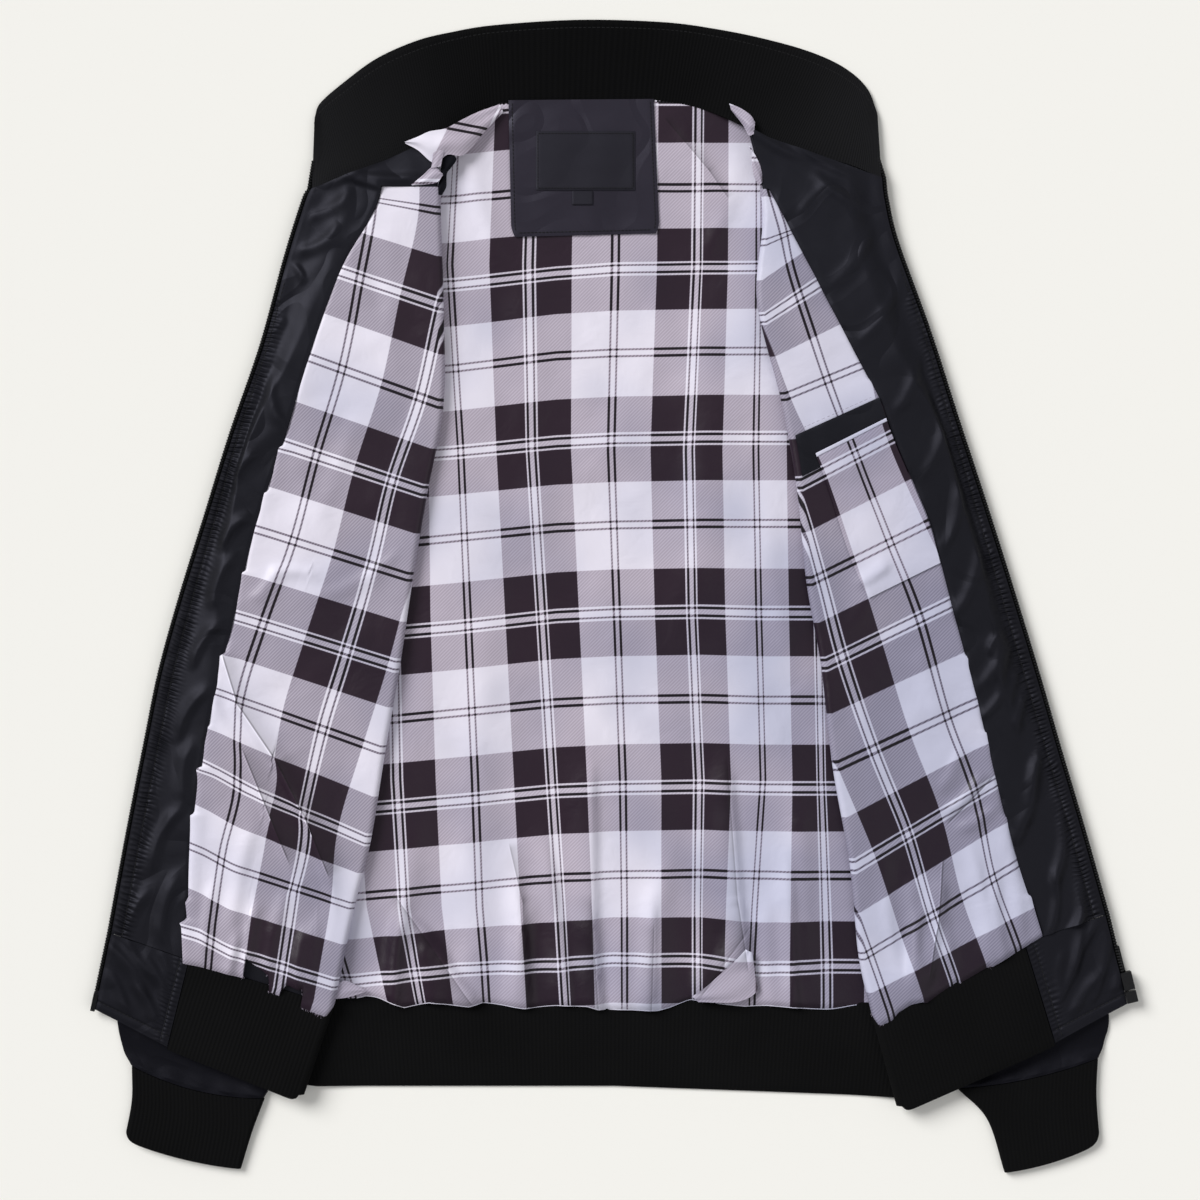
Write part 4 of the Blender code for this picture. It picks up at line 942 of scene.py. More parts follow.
def front_lining_lay(front, checks, hem, bulges, across, down):
    part = across if front.side > 0 else 1 - across
    run = np.interp(part, [0, 0.1, 0.16, 1], [-1, 0, 1, 2])
    open_here = smooth((run - 0.3) / 0.7)
    end = HEM + 0.01 + height_at(hem, run - 1) / FRONT_RIB_STEP * open_here
    place = LINING_TOP[front.side] + down * (end - LINING_TOP[front.side])
    hidden = np.minimum(place, LAST_ROW)
    at = hidden + (place - hidden) * open_here
    narrowed = np.where(run > 1, 1 + (run - 1) * lining_share(front, at), run)
    points, w = front.whole(at, narrowed, STACK)
    seam = front.widths(at)[0] * lining_share(front, at)
    bulge = np.zeros_like(w)
    for start, reach, fade in bulges:
        below = start - points[:, 1]
        fading = np.exp(-np.maximum(below, 0) / fade)
        bulge = np.maximum(bulge, reach * smooth(below / 2.5) * fading)
    outward = smooth((run - 1.9) / 0.1)
    points[:, 0] += front.side * bulge * outward
    puff = BLOUSE * smooth((place - BLOUSE_START) / 0.9) - hem_roll(place, end)
    near = np.clip((seam - w) / 2.5, 0, 1)
    raised = puff * open_here + front_relief(points[:, 0], points[:, 1]) * smooth((w - 4) / 20)
    raised += outward * bulge * 0.35
    points[:, 2] += np.where(run >= 0.3, raised - 0.8 * (1 - near) ** 2, 0)
    return points, front_weave(front, checks, at, w)


# Threads that hang out of the linings' raw hems: from x to x, in mm, how many, and how long
FRAYS = {
    "left": [(-239, -228, 16, 3.4), (-216, -199, 22, 4.4), (-256, -250, 7, 3), (-305, -300, 9, 4)],
    "right": [(231, 239, 14, 3.4), (256, 261, 8, 3.4), (176, 189, 16, 2.6), (196, 205, 8, 2.4)],
}


def joined(name, points, faces, finish):
    """One piece of these points and faces."""
    mesh = bpy.data.meshes.new(name)
    mesh.from_pydata(np.asarray(points).tolist(), [], faces)
    piece = bpy.data.objects.new(name, mesh)
    bpy.context.scene.collection.objects.link(piece)
    mesh.materials.append(finish)
    mesh.shade_smooth()
    return piece


def frays(side, lay, spots):
    """Loose threads along the lining's free edge, joined to one mesh: thin bent tubes."""
    chance = np.random.default_rng(70)
    edge = lay(np.linspace(0, 1, 2400), np.ones(2400))[0]
    edge = edge[edge[:, 2] > 6]
    part = np.linspace(0, 1, 6)
    ring = 0.16 * np.array([(0, 1), (-0.87, -0.5), (0.87, -0.5)])
    points, faces = [], []
    for low, high, count, length in spots:
        near = edge[(edge[:, 0] > low) & (edge[:, 0] < high)]
        for _ in range(count if len(near) else 0):
            lean, curl = chance.normal(0, 0.3), chance.normal(0, 0.5)
            reach = length * chance.uniform(0.4, 1.2)
            turn = -math.pi / 2 + lean + curl * part
            out = reach * part
            path = near[chance.integers(len(near))] + np.column_stack([
                out * np.cos(turn), 0.8 + out * np.sin(turn), 0.3 - 1.6 * part ** 2,
            ])
            first = len(points) * 3
            for spot in path:
                points.append([(spot[0] + x, spot[1], spot[2] + z) for x, z in ring])
            for low_at in range(first, first + 15, 3):
                for at, after in ((0, 1), (1, 2), (2, 0)):
                    faces.append((low_at + at, low_at + after, low_at + 3 + after, low_at + 3 + at))
            faces += [(first + 2, first + 1, first), (first + 15, first + 16, first + 17)]
    piece = joined(f"lining_frays_{side}", np.concatenate(points) * MM, faces, YARN)
    return dress(piece, "checked_lining")


def yarn():
    """Loose yarn of the check: pale and dark threads."""
    made, surface, start = new_material("lining_yarn", 0.6, Specular_IOR_Level=0.2)
    kind = start.noise(420.0).over(0.52, 0.08)
    feed(surface, "Base Color", kind.mix((0.03, 0.018, 0.03), (0.42, 0.37, 0.46)))
    return made


YARN = yarn()
for side, front, checks, hem, bulges in (
    ("left", LEFT, LEFT_CHECK, LEFT_HEM, LEFT_BULGES),
    ("right", RIGHT, RIGHT_CHECK, RIGHT_HEM, RIGHT_BULGES),
):
    lay = partial(front_lining_lay, front, checks, hem, bulges)
    lining = cloth(f"front_lining_{side}_cloth", 110, 400, lay, LINING_THICK, PLEATED_CHECK)
    dress(lining, "checked_lining", f"front_lining_{side}")
    frays(side, lay, FRAYS[side])


# Facings: black nylon strips that finish the fronts' edges. Each follows the neckline from the
# fold, turns the corner and runs down beside the zip, puckered along its topstitched seam.

FACING_NYLON = nylon("facing_nylon", (0.0046, 0.0046, 0.0062), 0.5, 0.7, pucker=0.5, gloss=0.21)
NECK_SHARE = 0.16
STITCH_RISE = (0, 0, 0.12)
NO_PUCKER = 40


def stitched_in(place):
    """How far in from the fronts' edges their topstitched line runs: further down their length."""
    return 5.5 + 5.5 * smooth((place - 2.4) / 5)


def facing_face(front, place, w):
    """The facing's face there, and how far in from its stitched line."""
    points = front.turned(place, w, STACK)
    x, y = points[:, 0], points[:, 1]
    seam, edge = front.widths(place)[:2]
    from_line = edge - stitched_in(place) - w
    from_teeth = edge - ZIP_ROOM - w
    low = smooth((place - 2) / 2)
    gather = 0.3 + 0.2 * rumple(x, y, 30, 11)
    pitch = place * ROW_STEP * 2 * math.pi / 5.3 + 2.5 * rumple(x, y, 45, 12)
    points[:, 2] += low * np.exp(-((from_line / 5) ** 2)) * gather * np.sin(pitch)
    creases = LEFT_FACING_CREASES if front.side < 0 else RIGHT_FACING_CREASES
    soft = 1.25 * creased(creases, x, y, 0.85)
    soft += 0.45 * rumple(x, y, 42, 13) + 0.12 * rumple(x, y, 18, 14)
    points[:, 2] += np.maximum(soft, -0.6) * smooth((from_line + 1) / 9)
    points[:, 2] += 0.5 * smooth(from_teeth / 3) - 0.5 * low * np.exp(-(from_line ** 2))
    beyond = w - seam * lining_share(front, place)
    points[:, 2] -= 0.6 * (1 - smooth(beyond / 3)) * (place > 0.8)
    return points, from_line


def set_along(name, size, bevel, places, finish):
    """Bevelled blocks of this size, in mm, at each place and heading, joined to one mesh."""
    bpy.ops.object.select_all(action="DESELECT")
    bpy.ops.mesh.primitive_cube_add(size=1)
    block = bpy.context.object
    block.scale = [side * MM for side in size]
    bpy.ops.object.transform_apply(location=False, rotation=False, scale=True)
    edge = block.modifiers.new("edge", "BEVEL")
    edge.width, edge.segments = bevel * MM, 1
    bpy.ops.object.modifier_apply(modifier=edge.name)
    points = np.array([vertex.co for vertex in block.data.vertices])
    faces = [list(face.vertices) for face in block.data.polygons]
    bpy.data.objects.remove(block)
    all_points, all_faces = [], []
    for spot, heading in places:
        first = len(all_points) * len(points)
        all_faces += [[first + corner for corner in face] for face in faces]
        turn = np.array(Matrix.Rotation(heading, 3, "Z"))
        all_points.append(points @ turn.T + np.array(spot) * MM)
    row = joined(name, np.concatenate(all_points), all_faces, finish)
    row.data.set_sharp_from_angle(angle=math.radians(40))
    return row


def run_along(line):
    """The length of a line, and what gives its points at distances along it."""
    steps = np.linalg.norm(np.diff(line, axis=0), axis=1)
    run = np.concatenate([[0], np.cumsum(steps)])
    return run[-1], lambda at: np.stack([np.interp(at, run, column) for column in line.T], 1)


def evenly(line, pitch):
    """Points at an even pitch along a line, with their headings."""
    length, point_at = run_along(line)
    at = np.arange(pitch / 2, length, pitch)
    way = point_at(at + 0.5) - point_at(at)
    return [(spot, math.atan2(step[1], step[0])) for spot, step in zip(point_at(at), way)]


def dull(name, colour, roughness, metallic=0.0, bump=0.02):
    """A plain finish with a slightly uneven surface."""
    made, surface, start = new_material(name, roughness, Metallic=metallic, Specular_IOR_Level=0.3)
    grain = start.noise(600.0)
    feed_height(surface, grain * bump)
    feed(surface, "Base Color", grain.shades(colour, 0.7, 1.3))
    return made


THREAD = dull("black_thread", (0.006, 0.006, 0.007), 0.7)
PALE_THREAD = dull("pale_thread", (0.30, 0.27, 0.34), 0.7)


def stitches(name, slot, lines, pitch=3.0, finish=THREAD):
    """Topstitching: a short thread at each step of the lines, sunk a little in the cloth."""
    places = [place for line in lines for place in evenly(np.asarray(line), pitch)]
    row = set_along(name, (0.72 * pitch, 0.5, 0.5), 0.16, places, finish)
    return dress(row, slot)


def facing_lay(front, across, down):
    top = LINING_TOP[front.side] - 0.01
    part = across if front.side > 0 else 1 - across
    turn = np.clip(down / NECK_SHARE, 0, 1)
    run = np.clip((down - NECK_SHARE) / (1 - NECK_SHARE), 0, 1)
    inner_place = top + run * (LAST_ROW - top)
    outer_place = TOP_ROW + run * (LAST_ROW - TOP_ROW)
    place = inner_place + (outer_place - inner_place) * part
    inner = turn * 1.004 * lining_share(front, inner_place)
    share = inner + (turn * 2 - inner) * part
    seam, edge = front.widths(place)[:2]
    w = np.where(share < 1, share * seam, seam + (share - 1) * (edge - ZIP_ROOM - seam))
    points, from_line = facing_face(front, place, w)
    plain = NO_PUCKER * (1 - smooth((place - 1.6) / 1.2))
    return points, np.column_stack([from_line + plain, -place * ROW_STEP])


for side, front in FRONTS.items():
    lay = partial(facing_lay, front)
    facing = cloth(f"front_facing_{side}_cloth", 60, 600, lay, NYLON_THICK, FACING_NYLON)
    dress(facing, "nylon", f"front_facing_{side}")
    place = np.linspace(2.3, LAST_ROW, 700)
    line = facing_face(front, place, front.widths(place)[1] - stitched_in(place))[0] + STITCH_RISE
    stitches(f"facing_stitches_{side}", "nylon", [line])


# Hem: black rib knit, 5.7 cm high, in one strip on the back and one on each front, ended at the
# zip by blocks of doubled nylon.

HEM_KNIT = rib_knit("hem_knit", (0.0034, 0.0034, 0.0036))
RIB_TOP = HEM + 0.003
RIB_LENGTH, RIB_HEIGHT, RIM_DROP = 505, 58, 0.9
RIB_UNDER, RIB_OVER = 60, 105


def back_rib_lay(across, down):
    place = RIB_TOP + down * (HEM_BOTTOM - RIB_TOP)
    left, right = LEFT.row(place), RIGHT.row(place)
    part = np.clip((across - 0.02) / 0.96, 0, 1)
    x = left[:, 6] + (right[:, 6] - left[:, 6]) * part
    y = back_y(place, x)
    width = part * RIB_LENGTH
    rim = smooth((1 - down) / 0.05)
    z = lift(x, y) + STACK - RIM_DROP * (1 - rim) + ribbed(width) * rim
    return np.column_stack([x, y, z]), np.column_stack([width, -place * RIB_HEIGHT])


back_rib = cloth("hem_rib_back_knit", 560, 24, back_rib_lay, KNIT_THICK, HEM_KNIT)
dress(back_rib, "rib_knit", "hem_rib_back")


# As on the linings, but on both blocks
BLOCK_CREASES = [
    (-349, -240, -322, -276, -3, 3, 5, 2.4), (-336, -236, -318, -262, 2, 3, 5, 2),
    (-322, -250, -306, -288, -3, 3, 5, 2.2), (-330, -268, -312, -306, -3, 3, 5, 2.4),
    (-346, -262, -334, -298, -2, 3, 5, 2.2), (-312, -244, -304, -262, 1, 3, 4, 1.4),
    (334, -226, 318, -262, 3, 3, 5, 2.2), (322, -232, 306, -280, -3, 3, 5, 2.4),
    (342, -236, 328, -284, -2, 3, 5, 2.2), (334, -262, 316, -296, 3, 3, 5, 2.4),
    (348, -256, 338, -290, -3, 3, 4, 1.8), (310, -246, 306, -270, 1, 3, 4, 1.6),
]
BLOCK_LINE, FOOT_LINE, BLOCK_HEIGHT = 6, 7, 62
BLOCK_THICK = 1.4
BLOCK_NYLON = nylon("block_nylon", (0.0042, 0.0042, 0.0058), 0.55, 0.6, pucker=0.22, gloss=0.2)


def block_start(front, place):
    """Where a block meets its rib, in mm from the fold: the viewer's right one slants inwards."""
    slant = 13 * np.clip(HEM_BOTTOM - place, 0, 1) * (front.side > 0)
    return front.widths(place)[0] - slant


def front_rib_lay(front, across, down):
    part = across if front.side > 0 else 1 - across
    run = np.interp(part, [0, 0.16, 0.22, 1], [-1, 0, 1, 1.996])
    from_fold = np.where(run < 0, -run * RIB_UNDER, np.maximum(run - 1, 0) * RIB_OVER)
    place = RIB_TOP + down * (HEM_BOTTOM + 0.03 - RIB_TOP)
    place = place - 0.07 * np.exp(-from_fold / 1.6) * smooth((place - 10.6) / 0.4)
    share = block_start(front, place) / front.widths(place)[0]
    run = np.where(run > 1, 1 + (run - 1) * share, run)
    points, w = front.whole(place, run, STACK)
    rim = smooth((1 - down) / 0.05)
    points[:, 2] += np.where(run > 1, ribbed(w) * rim - RIM_DROP * (1 - rim), 0)
    return points, np.column_stack([w, -place * RIB_HEIGHT])


for side, front in FRONTS.items():
    lay = partial(front_rib_lay, front)
    rib = cloth(f"hem_rib_{side}_knit", 260, 24, lay, KNIT_THICK, HEM_KNIT)
    dress(rib, "rib_knit", f"hem_rib_{side}")


def block_face(front, place, w):
    """The block's face there: creased, and stitched beside the rib and above its foot."""
    points = front.turned(place, w, STACK)
    x, y = points[:, 0], points[:, 1]
    from_seam, low = w - block_start(front, place), (HEM_BOTTOM - place) * BLOCK_HEIGHT
    inside = np.minimum(from_seam, front.widths(place)[1] - w - CHAIN_WIDTH)
    above_line, from_line = low - FOOT_LINE, from_seam - BLOCK_LINE
    soft = 0.85 * creased(BLOCK_CREASES, x, y)
    soft += 0.5 * rumple(x, y, 34, 51) + 0.15 * rumple(x, y, 15, 52)
    open_part = smooth(above_line / 8) * smooth(from_line / 8)
    points[:, 2] += 0.6 * smooth(np.minimum(inside, low) / 4) + np.maximum(soft, -0.5) * open_part
    points[:, 2] -= 0.6 * np.exp(-((above_line / 0.9) ** 2)) + 0.45 * np.exp(-(from_line ** 2))
    return points, from_line


def block_lay(front, across, down):
    place = RIB_TOP + down * (HEM_BOTTOM - RIB_TOP)
    part = across if front.side > 0 else 1 - across
    start = block_start(front, place) + 0.15
    past_zip = smooth((place - ZIP_ENDS["left"] + 0.05) / 0.04) * (front.side < 0)
    w = start + part * (front.widths(place)[1] - ZIP_ROOM * (1 - past_zip) - start)
    points, from_line = block_face(front, place, w)
    return points, np.column_stack([from_line, -place * ROW_STEP])


for side, front in FRONTS.items():
    lay = partial(block_lay, front)
    block = cloth(f"hem_block_{side}_cloth", 80, 90, lay, BLOCK_THICK, BLOCK_NYLON)
    dress(block, "nylon", f"hem_block_{side}")
    place = np.linspace(RIB_TOP + 0.03, HEM_BOTTOM - 0.03, 120)
    upright = block_face(front, place, block_start(front, place) + BLOCK_LINE)[0]
    place = np.full(120, HEM_BOTTOM - FOOT_LINE / BLOCK_HEIGHT)
    seam, edge = front.widths(place)[:2]
    foot = block_face(front, place, seam + 1 + (edge - seam - 5) * np.linspace(0, 1, 120))[0]
    lines = [upright + STITCH_RISE, foot + STITCH_RISE]
    stitches(f"block_stitches_{side}", "nylon", lines)


# Collar: one band of black rib knit, folded double at its outer edge and topstitched there. It
# lies flat with its inner side up.

# Along the collar: x, y and height of its neck seam, then of its outer edge, in mm
COLLAR = [
    (-208.5, 282, 4.4, -207, 331, 1.5), (-190, 290, 5.2, -203, 341, 1.2),
    (-164, 299, 6.4, -186, 356, 0.6), (-146, 308, 7.2, -164, 372, 0),
    (-123, 319, 7.4, -137, 384, 0), (-103, 333, 3.4, -113, 390, 0), (-79, 342, 0, -82, 395, 0),
    (-26, 343, 0, -24, 398.6, 0), (28, 344, 0, 34, 397, 0), (59, 340, 0.6, 72, 392, 0),
    (90, 327, 5.6, 106, 385, 0), (111, 316, 7.2, 137, 376, 0), (134, 308, 6.6, 160, 365, 0.4),
    (163, 300, 5.4, 175, 351, 1.2), (184.5, 290.5, 4.4, 182, 334, 1.5),
]
COLLAR_LENGTH, COLLAR_HEIGHT, COLLAR_LINE, COLLAR_RISE = 560, 55, 5.5, 0.1
# The collar's ends are painted paler: painted light.
COLLAR_KNIT = rib_knit("collar_knit", (0.0020, 0.0020, 0.0022), ends=(COLLAR_LENGTH / 2, 5.5))


def collar_face(across, down):
    """The band's inner face, from its outer edge, down 0, to the neck's seam."""
    row = through(COLLAR, across * (len(COLLAR) - 1))
    rise = 1 - down
    seam_cover = 0.05 * (1 - smooth(rise / 0.1))
    ground = row[:, 0:2] + (row[:, 3:5] - row[:, 0:2]) * (rise - seam_cover)[:, None]
    z = np.maximum(row[:, 2], 0) * down ** 1.5 + np.maximum(row[:, 5], 0) * smooth(rise / 0.8)
    width = across * COLLAR_LENGTH
    groove = np.exp(-(((down * COLLAR_HEIGHT - COLLAR_LINE) / 0.7) ** 2))
    z += STACK - 0.35 * groove - 1.1 * (1 - smooth(down / 0.06))
    z += COLLAR_RISE / RIB_RISE * ribbed(width) * smooth(down / 0.1)
    z += 0.25 * rumple(*ground.T, 60, 31) * smooth(down / 0.2) * smooth(rise / 0.2)
    return np.column_stack([ground, z]), np.column_stack([width, rise * 57])


collar = cloth("collar_knit_band", 620, 44, collar_face, KNIT_THICK, COLLAR_KNIT)
dress(collar, "rib_knit", "collar")
line = collar_face(np.linspace(0.012, 0.988, 700), np.full(700, COLLAR_LINE / COLLAR_HEIGHT))[0]
sewn = stitches("collar_stitches", "rib_knit", [line + (0, 0, 0.05)], pitch=3.2)


# Neck patch: black satin sewn to the back's lining at the neck, with a woven label and a size tab
# left bare.

# Upper and lower corners, from left to right, in mm
PATCH = [(-73, 342.5), (27.5, 343.4), (-71, 248), (31.5, 250.5)]
LABEL = [(-54, 321), (14.5, 321), (-54, 280), (14.5, 280)]
TAB = [(-29, 279.5), (-14.5, 279.5), (-29, 270), (-14.5, 270)]
LABEL_THICK = 0.4
PATCH_SATIN = nylon("patch_satin", (0.0195, 0.0165, 0.0245), 0.42, 0.45)
LABEL_WEAVE = nylon("label_weave", (0.0115, 0.0105, 0.0145), 0.55, 0.1)


def patch_lay(corners, above, corner_round, across, down):
    """A patch between four corners, this far above the lining, with its lower corners rounded."""
    corners = np.array(corners, float)
    inward = np.clip((down - 0.9) / 0.1, 0, 1)
    trimmed = 0.5 + (across - 0.5) * (1 - corner_round * inward ** 2)
    top = corners[0] + (corners[1] - corners[0]) * trimmed[:, None]
    low = corners[2] + (corners[3] - corners[2]) * trimmed[:, None]
    ground = top + (low - top) * down[:, None]
    x, y = ground.T
    rim = smooth(np.minimum(np.minimum(across, 1 - across), 1 - down) / 0.03)
    z = STACK + above - 0.5 * (1 - rim)
    z += 0.3 * rumple(x, y, 44, 41) + 0.1 * rumple(x, y, 18, 42)
    return np.column_stack([x, y, z]), np.column_stack([x, y])


def around(face, sides):
    """Lines along these sides of a patch, given as from and to, in parts across and down."""
    return [
        face(*[np.linspace(start, end, 160) for start, end in zip(first, last)])[0] + STITCH_RISE
        for first, last in sides
    ]


patch_top = partial(patch_lay, PATCH, 1.7, 0.05)
patch = cloth("neck_patch_cloth", 60, 60, patch_top, NYLON_THICK, PATCH_SATIN)
dress(patch, "satin_patch", "neck_patch")
sewn = stitches("patch_stitches", "satin_patch", around(patch_top, [
    ((0.025, 0.02), (0.025, 0.965)), ((0.04, 0.972), (0.96, 0.972)),
    ((0.975, 0.965), (0.975, 0.02)),
]), pitch=2.6)
label_top = partial(patch_lay, LABEL, 2.7, 0)
label = cloth("neck_label_weave", 50, 40, label_top, LABEL_THICK, LABEL_WEAVE)
dress(label, "woven_label", "neck_label")
sewn = stitches("label_stitches", "woven_label", around(label_top, [
    ((0.02, 0.04), (0.98, 0.04)), ((0.98, 0.04), (0.98, 0.96)), ((0.98, 0.96), (0.02, 0.96)),
    ((0.02, 0.96), (0.02, 0.04)),
]), pitch=2.2)
tab_top = partial(patch_lay, TAB, 2.8, 0)
tab = cloth("size_tab_weave", 24, 20, tab_top, LABEL_THICK, LABEL_WEAVE)
dress(tab, "woven_label", "size_tab")


# Inside pocket: a checked patch on the viewer's right front, its mouth tucked over a band of
# nylon, with a narrow pale rim.

BAND_ROWS, BAND_STARTS = (3.45, 3.93), (1, 1)
POCKET_ROWS, POCKET_STARTS = (3.78, 5.5), (13, 38)


def pocket_lay(places, starts, above, over_band, across, down):
    """A piece on the right front, out to the lining's seam, raised where it covers the band."""
    place = places[0] + (places[1] - places[0]) * down
    start = starts[0] + (starts[1] - starts[0]) * down
    w = start + across * (RIGHT.widths(place)[0] - 0.8 - start)
    points = RIGHT.turned(place, w, STACK + above)
    x, y = points[:, 0], points[:, 1]
    rim = smooth(np.minimum(np.minimum(across, down), 1 - down) / 0.04)
    points[:, 2] += over_band * 1.3 * (1 - smooth((down - 0.12) / 0.2)) - 0.3 * (1 - rim)
    points[:, 2] += front_relief(x, y) * smooth((w - 4) / 20)
    return points, front_weave(RIGHT, RIGHT_CHECK, place, w)


def pocket_rim_lay(across, down):
    points = pocket_lay((3.755, 3.80), (13, 13.5), 3.2, 0, across, down)[0]
    return points, np.column_stack([across * 4 + 78, down * 3 + 80])


band_lay = partial(pocket_lay, BAND_ROWS, BAND_STARTS, 1.5, 0)
band = cloth("pocket_band_cloth", 44, 24, band_lay, NYLON_THICK, FACING_NYLON)
dress(band, "nylon", "pocket_band")
mouth_lay = partial(pocket_lay, POCKET_ROWS, POCKET_STARTS, 1.5, 1)
pocket = cloth("pocket_patch_cloth", 44, 70, mouth_lay, NYLON_THICK, CHECK)
dress(pocket, "checked_lining", "pocket_patch")
rim = cloth("pocket_rim_cloth", 44, 6, pocket_rim_lay, NYLON_THICK, CHECK)
dress(rim, "checked_lining")
band_edge = partial(
    pocket_lay, (BAND_ROWS[0] - 0.045, BAND_ROWS[1]), BAND_STARTS, 0.1, 0,
)
line = band_edge(np.linspace(0.03, 0.97, 200), np.zeros(200))[0]
sewn = stitches("pocket_stitches", "checked_lining", [line], pitch=3.6, finish=PALE_THREAD)


# Lining gathers: the lining is pinched up over the neck seam at each end of the back's neck, and
# small folds of it stand out beside them and at both ends of the back's hem. In the hollow beside
# the left neck fold, a small sheet of dark nylon is painted shadow.

# Rows of each gather: from x, y to x, y, and their height, in mm
LEFT_TUCK = [
    (-79, 339.5, -76.5, 334, 3.9), (-94, 333.5, -87.5, 322, 6.9), (-106, 327, -103, 304, 10.4),
    (-116, 321.5, -114.5, 303.5, 11.6), (-127, 319.5, -123.5, 297.5, 11.6),
    (-135, 316, -135, 306.5, 11.4), (-144, 312.5, -143.5, 311, 11.2),
]
RIGHT_TUCK = [
    (79.5, 339.5, 80.5, 335, 7.4), (87.5, 335.5, 88.5, 324.5, 9.6), (94, 330.5, 92.5, 317, 11.6),
    (97, 326, 96, 317.5, 11.4),
]
NECK_FOLD_LEFT = [
    (-139.4, 282.9, -139, 282.4, 11), (-131.8, 289.1, -131.1, 282.9, 11.4),
    (-124.2, 295.3, -122.1, 284.3, 11.8), (-118, 290.5, -117.6, 289.4, 11.4),
]
NECK_TAIL_LEFT = [
    (-124.2, 306.3, -117.3, 306.3, 12.2), (-124.8, 300, -118.2, 300.6, 12),
    (-125.8, 294, -119.2, 295.2, 11.8),
]
# A small sheet of dark nylon laid in the hollow beside the left neck fold: painted shadow.
NECK_HOLLOW_SHADOW = [
    (-117.2, 305.6, -112.6, 305.6, 9.2), (-118.2, 300.8, -108.6, 300.8, 9.2),
    (-119, 296, -111.4, 296, 9.2), (-119.6, 291.2, -115, 291.2, 9),
    (-120, 286.4, -115.4, 286.4, 9), (-121.6, 281.5, -115.6, 281.5, 9),
    (-122.4, 276, -118.4, 276, 8.8),
]
NECK_FOLD_RIGHT = [
    (93.2, 309.8, 94.8, 307.6, 8.6), (98, 302.2, 95, 297.4, 9), (101.4, 293.9, 96.6, 288.4, 9),
    (102.3, 285, 100, 282.9, 8.6),
]
HEM_FOLD_LEFT = [
    (-192.5, -268.2, -192.5, -277.6, 9.6), (-185.6, -265, -185.6, -277, 9.4),
    (-178.7, -267.7, -178.7, -275.3, 8.6), (-171, -271.9, -171, -272.8, 7.6),
]
HEM_FOLD_RIGHT = [
    (91, -244, 95, -246, 6.6), (83, -252, 97, -261, 7.3), (73, -261, 98, -273, 7.3),
    (63.5, -269.5, 84, -280, 7.5), (54, -276.5, 58, -280, 6.2),
]


def tuck_lay(table, flip, plump, weave, across, down):
    """A gathered piece across the rows of its table, with its middle raised. Its weave says how
    far across and down the cloth moves for each mm of x and of y, and where it is at 0, 0."""
    part = 1 - across if flip else across
    row = through(table, part * (len(table) - 1))
    ground = row[:, 0:2] + (row[:, 2:4] - row[:, 0:2]) * down[:, None]
    crown = plump * (np.sin(down * math.pi) + 0.35 * np.sin(down * 9 + part * 5))
    points = np.column_stack([ground, row[:, 4] + 1.4 + crown])
    return points, np.column_stack([ground, np.ones_like(down)]) @ np.transpose(weave)


LEFT_WEAVE = [(0.903, -0.429828, 211.9574), (0.17, 1, -244.424)]
RIGHT_WEAVE = [(0.1, 0, 70), (0, 0.9, -274.2)]
FOLD_WEAVE = [(0.1, 0, 92), (0, 0.8, -224.4)]
TAIL_WEAVE = [(0.1, 0, 92), (0, 0.8, -222)]
LEFT_HEM_WEAVE = [(0.02, 0, 83), (0, 0.6, 178.2)]
RIGHT_HEM_WEAVE = [(0.3, 0, 61), (0, 0.6, 181.2)]
HOLLOW_SHADOW_WEAVE = [(1, 0, 300), (0, 1, 0)]
for name, table, flip, plump, weave, flat, area in (
    ("neck_tuck_left", LEFT_TUCK, True, 1.4, LEFT_WEAVE, (0.070, 0.024), 0.00120),
    ("neck_tuck_right", RIGHT_TUCK, False, 1.4, RIGHT_WEAVE, (0.022, 0.016), 0.00020),
    ("neck_fold_left", NECK_FOLD_LEFT, False, 0.8, FOLD_WEAVE, (0.023, 0.012), 0.00016),
    ("neck_tail_left", NECK_TAIL_LEFT, False, 0.4, TAIL_WEAVE, (0.0115, 0.010), 0.00007),
    ("neck_fold_right", NECK_FOLD_RIGHT, False, 0.6, RIGHT_WEAVE, (0.028, 0.010), 0.00013),
    ("hem_fold_left", HEM_FOLD_LEFT, False, 0.6, LEFT_HEM_WEAVE, (0.022, 0.013), 0.00018),
    ("hem_fold_right", HEM_FOLD_RIGHT, False, 0.8, RIGHT_HEM_WEAVE, (0.052, 0.027), 0.00093),
    ("neck_hollow_shadow_left", NECK_HOLLOW_SHADOW, False, 0.2, HOLLOW_SHADOW_WEAVE, (0.031, 0.010), 0.00020),
):
    # The hollow's dark sheet, painted shadow, takes the dark sleeve nylon.
    finish, slot = (SLEEVE_NYLON, "nylon") if "hollow" in name else (CHECK, "checked_lining")
    lay = partial(tuck_lay, table, flip, plump, weave)
    gathered = cloth(f"{name}_cloth", 60, 24, lay, NYLON_THICK, finish)
    dress(gathered, slot, *([name] if "tuck" in name else []))


# Zip: two rows of moulded teeth on the fronts' edges, with their tape, up onto the collar's ends.

TOOTH_PITCH, TOOTH_SIZE, TOOTH_EDGE = 2.0, (1.25, 2.4, 2.0), 0.35
TAPE_LENGTH = 620
COLLAR_TEETH = {"left": (-207.7, 300.8), "right": (182.5, 303.0)}
TEETH = dull("zip_teeth_black", (0.004, 0.004, 0.0045), 0.45)
TAPE = rib_knit("zip_tape_black", (0.0048, 0.0052, 0.0050))


def zip_line(front, end, top):
    """The middle line of the teeth, in mm, from the collar's end down to the foot."""
    place = np.linspace(0, end, 900)
    middle = front.widths(place)[1] - CHAIN_WIDTH / 2 + 0.3
    line = front.turned(place, middle, (CHAIN_LOW + CHAIN_HIGH) / 2)
    start = np.array([*top, line[0, 2] - 1.5])
    lead = start + (line[0] - start) * np.linspace(0, 1, 30)[:, None]
    return np.vstack([lead[:-1], line])


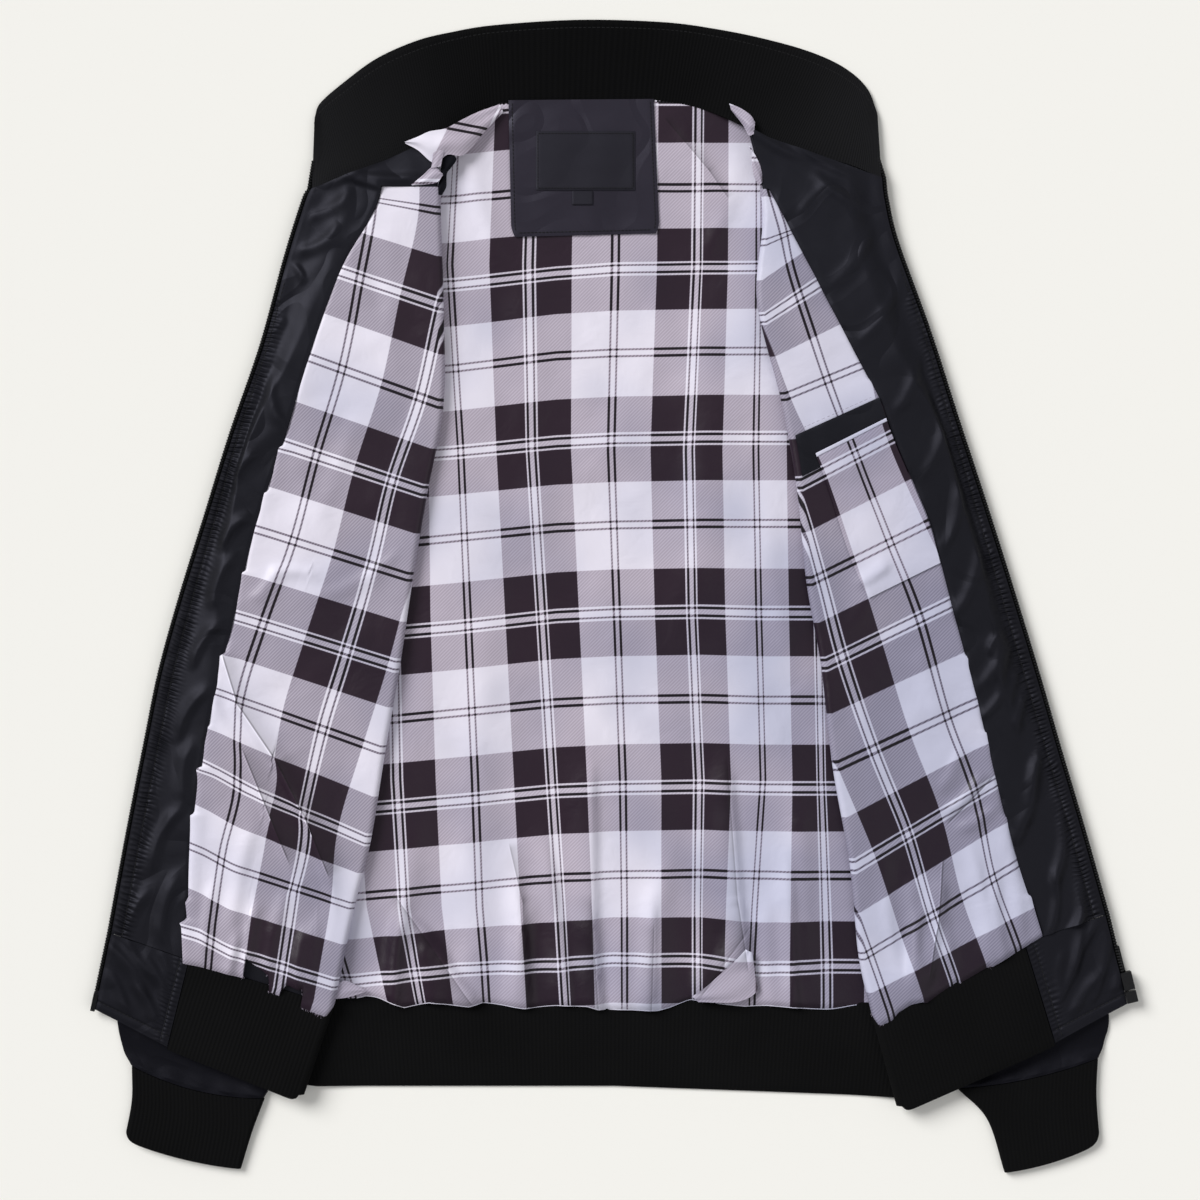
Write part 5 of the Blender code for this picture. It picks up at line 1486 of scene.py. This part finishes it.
def tape_lay(line, front, across, down):
    """A ribbon that runs under the middle of the teeth and on beneath the facing's edge."""
    length, point_at = run_along(line)
    part = across if front.side < 0 else 1 - across
    at = 0.5 + down * (length - 1)
    spot = point_at(at)
    ahead = point_at(at + 0.5) - spot
    ahead /= np.linalg.norm(ahead, axis=1)[:, None]
    inward = np.stack([-ahead[:, 1], ahead[:, 0]], 1) * -front.side
    inward *= np.sign(-front.side * inward[:, :1])
    reach = -0.9 + 4.2 * part
    points = np.column_stack([spot[:, :2] + inward * reach[:, None], spot[:, 2] - 0.7])
    return points, np.column_stack([reach * 2.5, down * TAPE_LENGTH])


for side, front in FRONTS.items():
    line = zip_line(front, ZIP_ENDS[side], COLLAR_TEETH[side])
    places = evenly(line, TOOTH_PITCH)
    teeth = set_along(f"zip_teeth_{side}", TOOTH_SIZE, TOOTH_EDGE, places, TEETH)
    dress(teeth, "zip_teeth", f"zip_chain_{side}")
    lay = partial(tape_lay, line, front)
    tape = cloth(f"zip_tape_{side}", 8, 320, lay, NYLON_THICK, TAPE)
    dress(tape, "zip_teeth")


# Slider, box and pin: black enamelled metal at the foot of the zip, with a pull that hangs from
# the slider's bar beneath.

ENAMEL = dull("black_enamel", (0.012, 0.012, 0.013), 0.3, metallic=0.6, bump=0.01)
for name in ("zip_slider", "zip_pull", "zip_box", "zip_pin"):
    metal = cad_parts[name]
    metal.data.materials.clear()
    metal.data.materials.append(ENAMEL)


# Stage: a pale floor, soft light from above, and the camera straight above the jacket.

def sun(name, azimuth, elevation, strength, spread):
    """A broad soft light from a direction: azimuth from +X, elevation above the floor."""
    bpy.ops.object.light_add(type="SUN", location=(0, 0, 3))
    lamp = bpy.context.object
    lamp.name = name
    turn, rise = math.radians(azimuth), math.radians(elevation)
    level = math.cos(rise)
    towards = Vector((math.cos(turn) * level, math.sin(turn) * level, math.sin(rise)))
    lamp.rotation_euler = towards.to_track_quat("Z", "Y").to_euler()
    lamp.data.energy = strength
    lamp.data.angle = math.radians(spread)


bpy.ops.object.select_all(action="DESELECT")
bpy.ops.mesh.primitive_plane_add(size=12, location=(0, 0, 0))
floor = bpy.context.object
floor.name = "floor"
paper = new_material(
    "floor_paper", 0.9, Specular_IOR_Level=0.1, Base_Color=(0.885, 0.872, 0.827, 1),
)[0]
floor.data.materials.append(paper)
sun("key", 142, 37, 2.95, 32)
sun("fill", -20, 52, 0.55, 60)
world = bpy.data.worlds.new("studio")
bpy.context.scene.world = world
world.use_nodes = True
sky = world.node_tree.nodes["Background"].inputs
sky[0].default_value, sky[1].default_value = (0.97, 0.98, 1.0, 1), 0.32
bpy.context.scene.view_settings.view_transform = "Standard"

bpy.ops.object.camera_add(location=(-9.7 * MM, -2.9 * MM, 1.962), rotation=(0, 0, 0))
camera = bpy.context.object
camera.data.lens = 85
camera.data.sensor_width = 36
bpy.context.scene.camera = camera
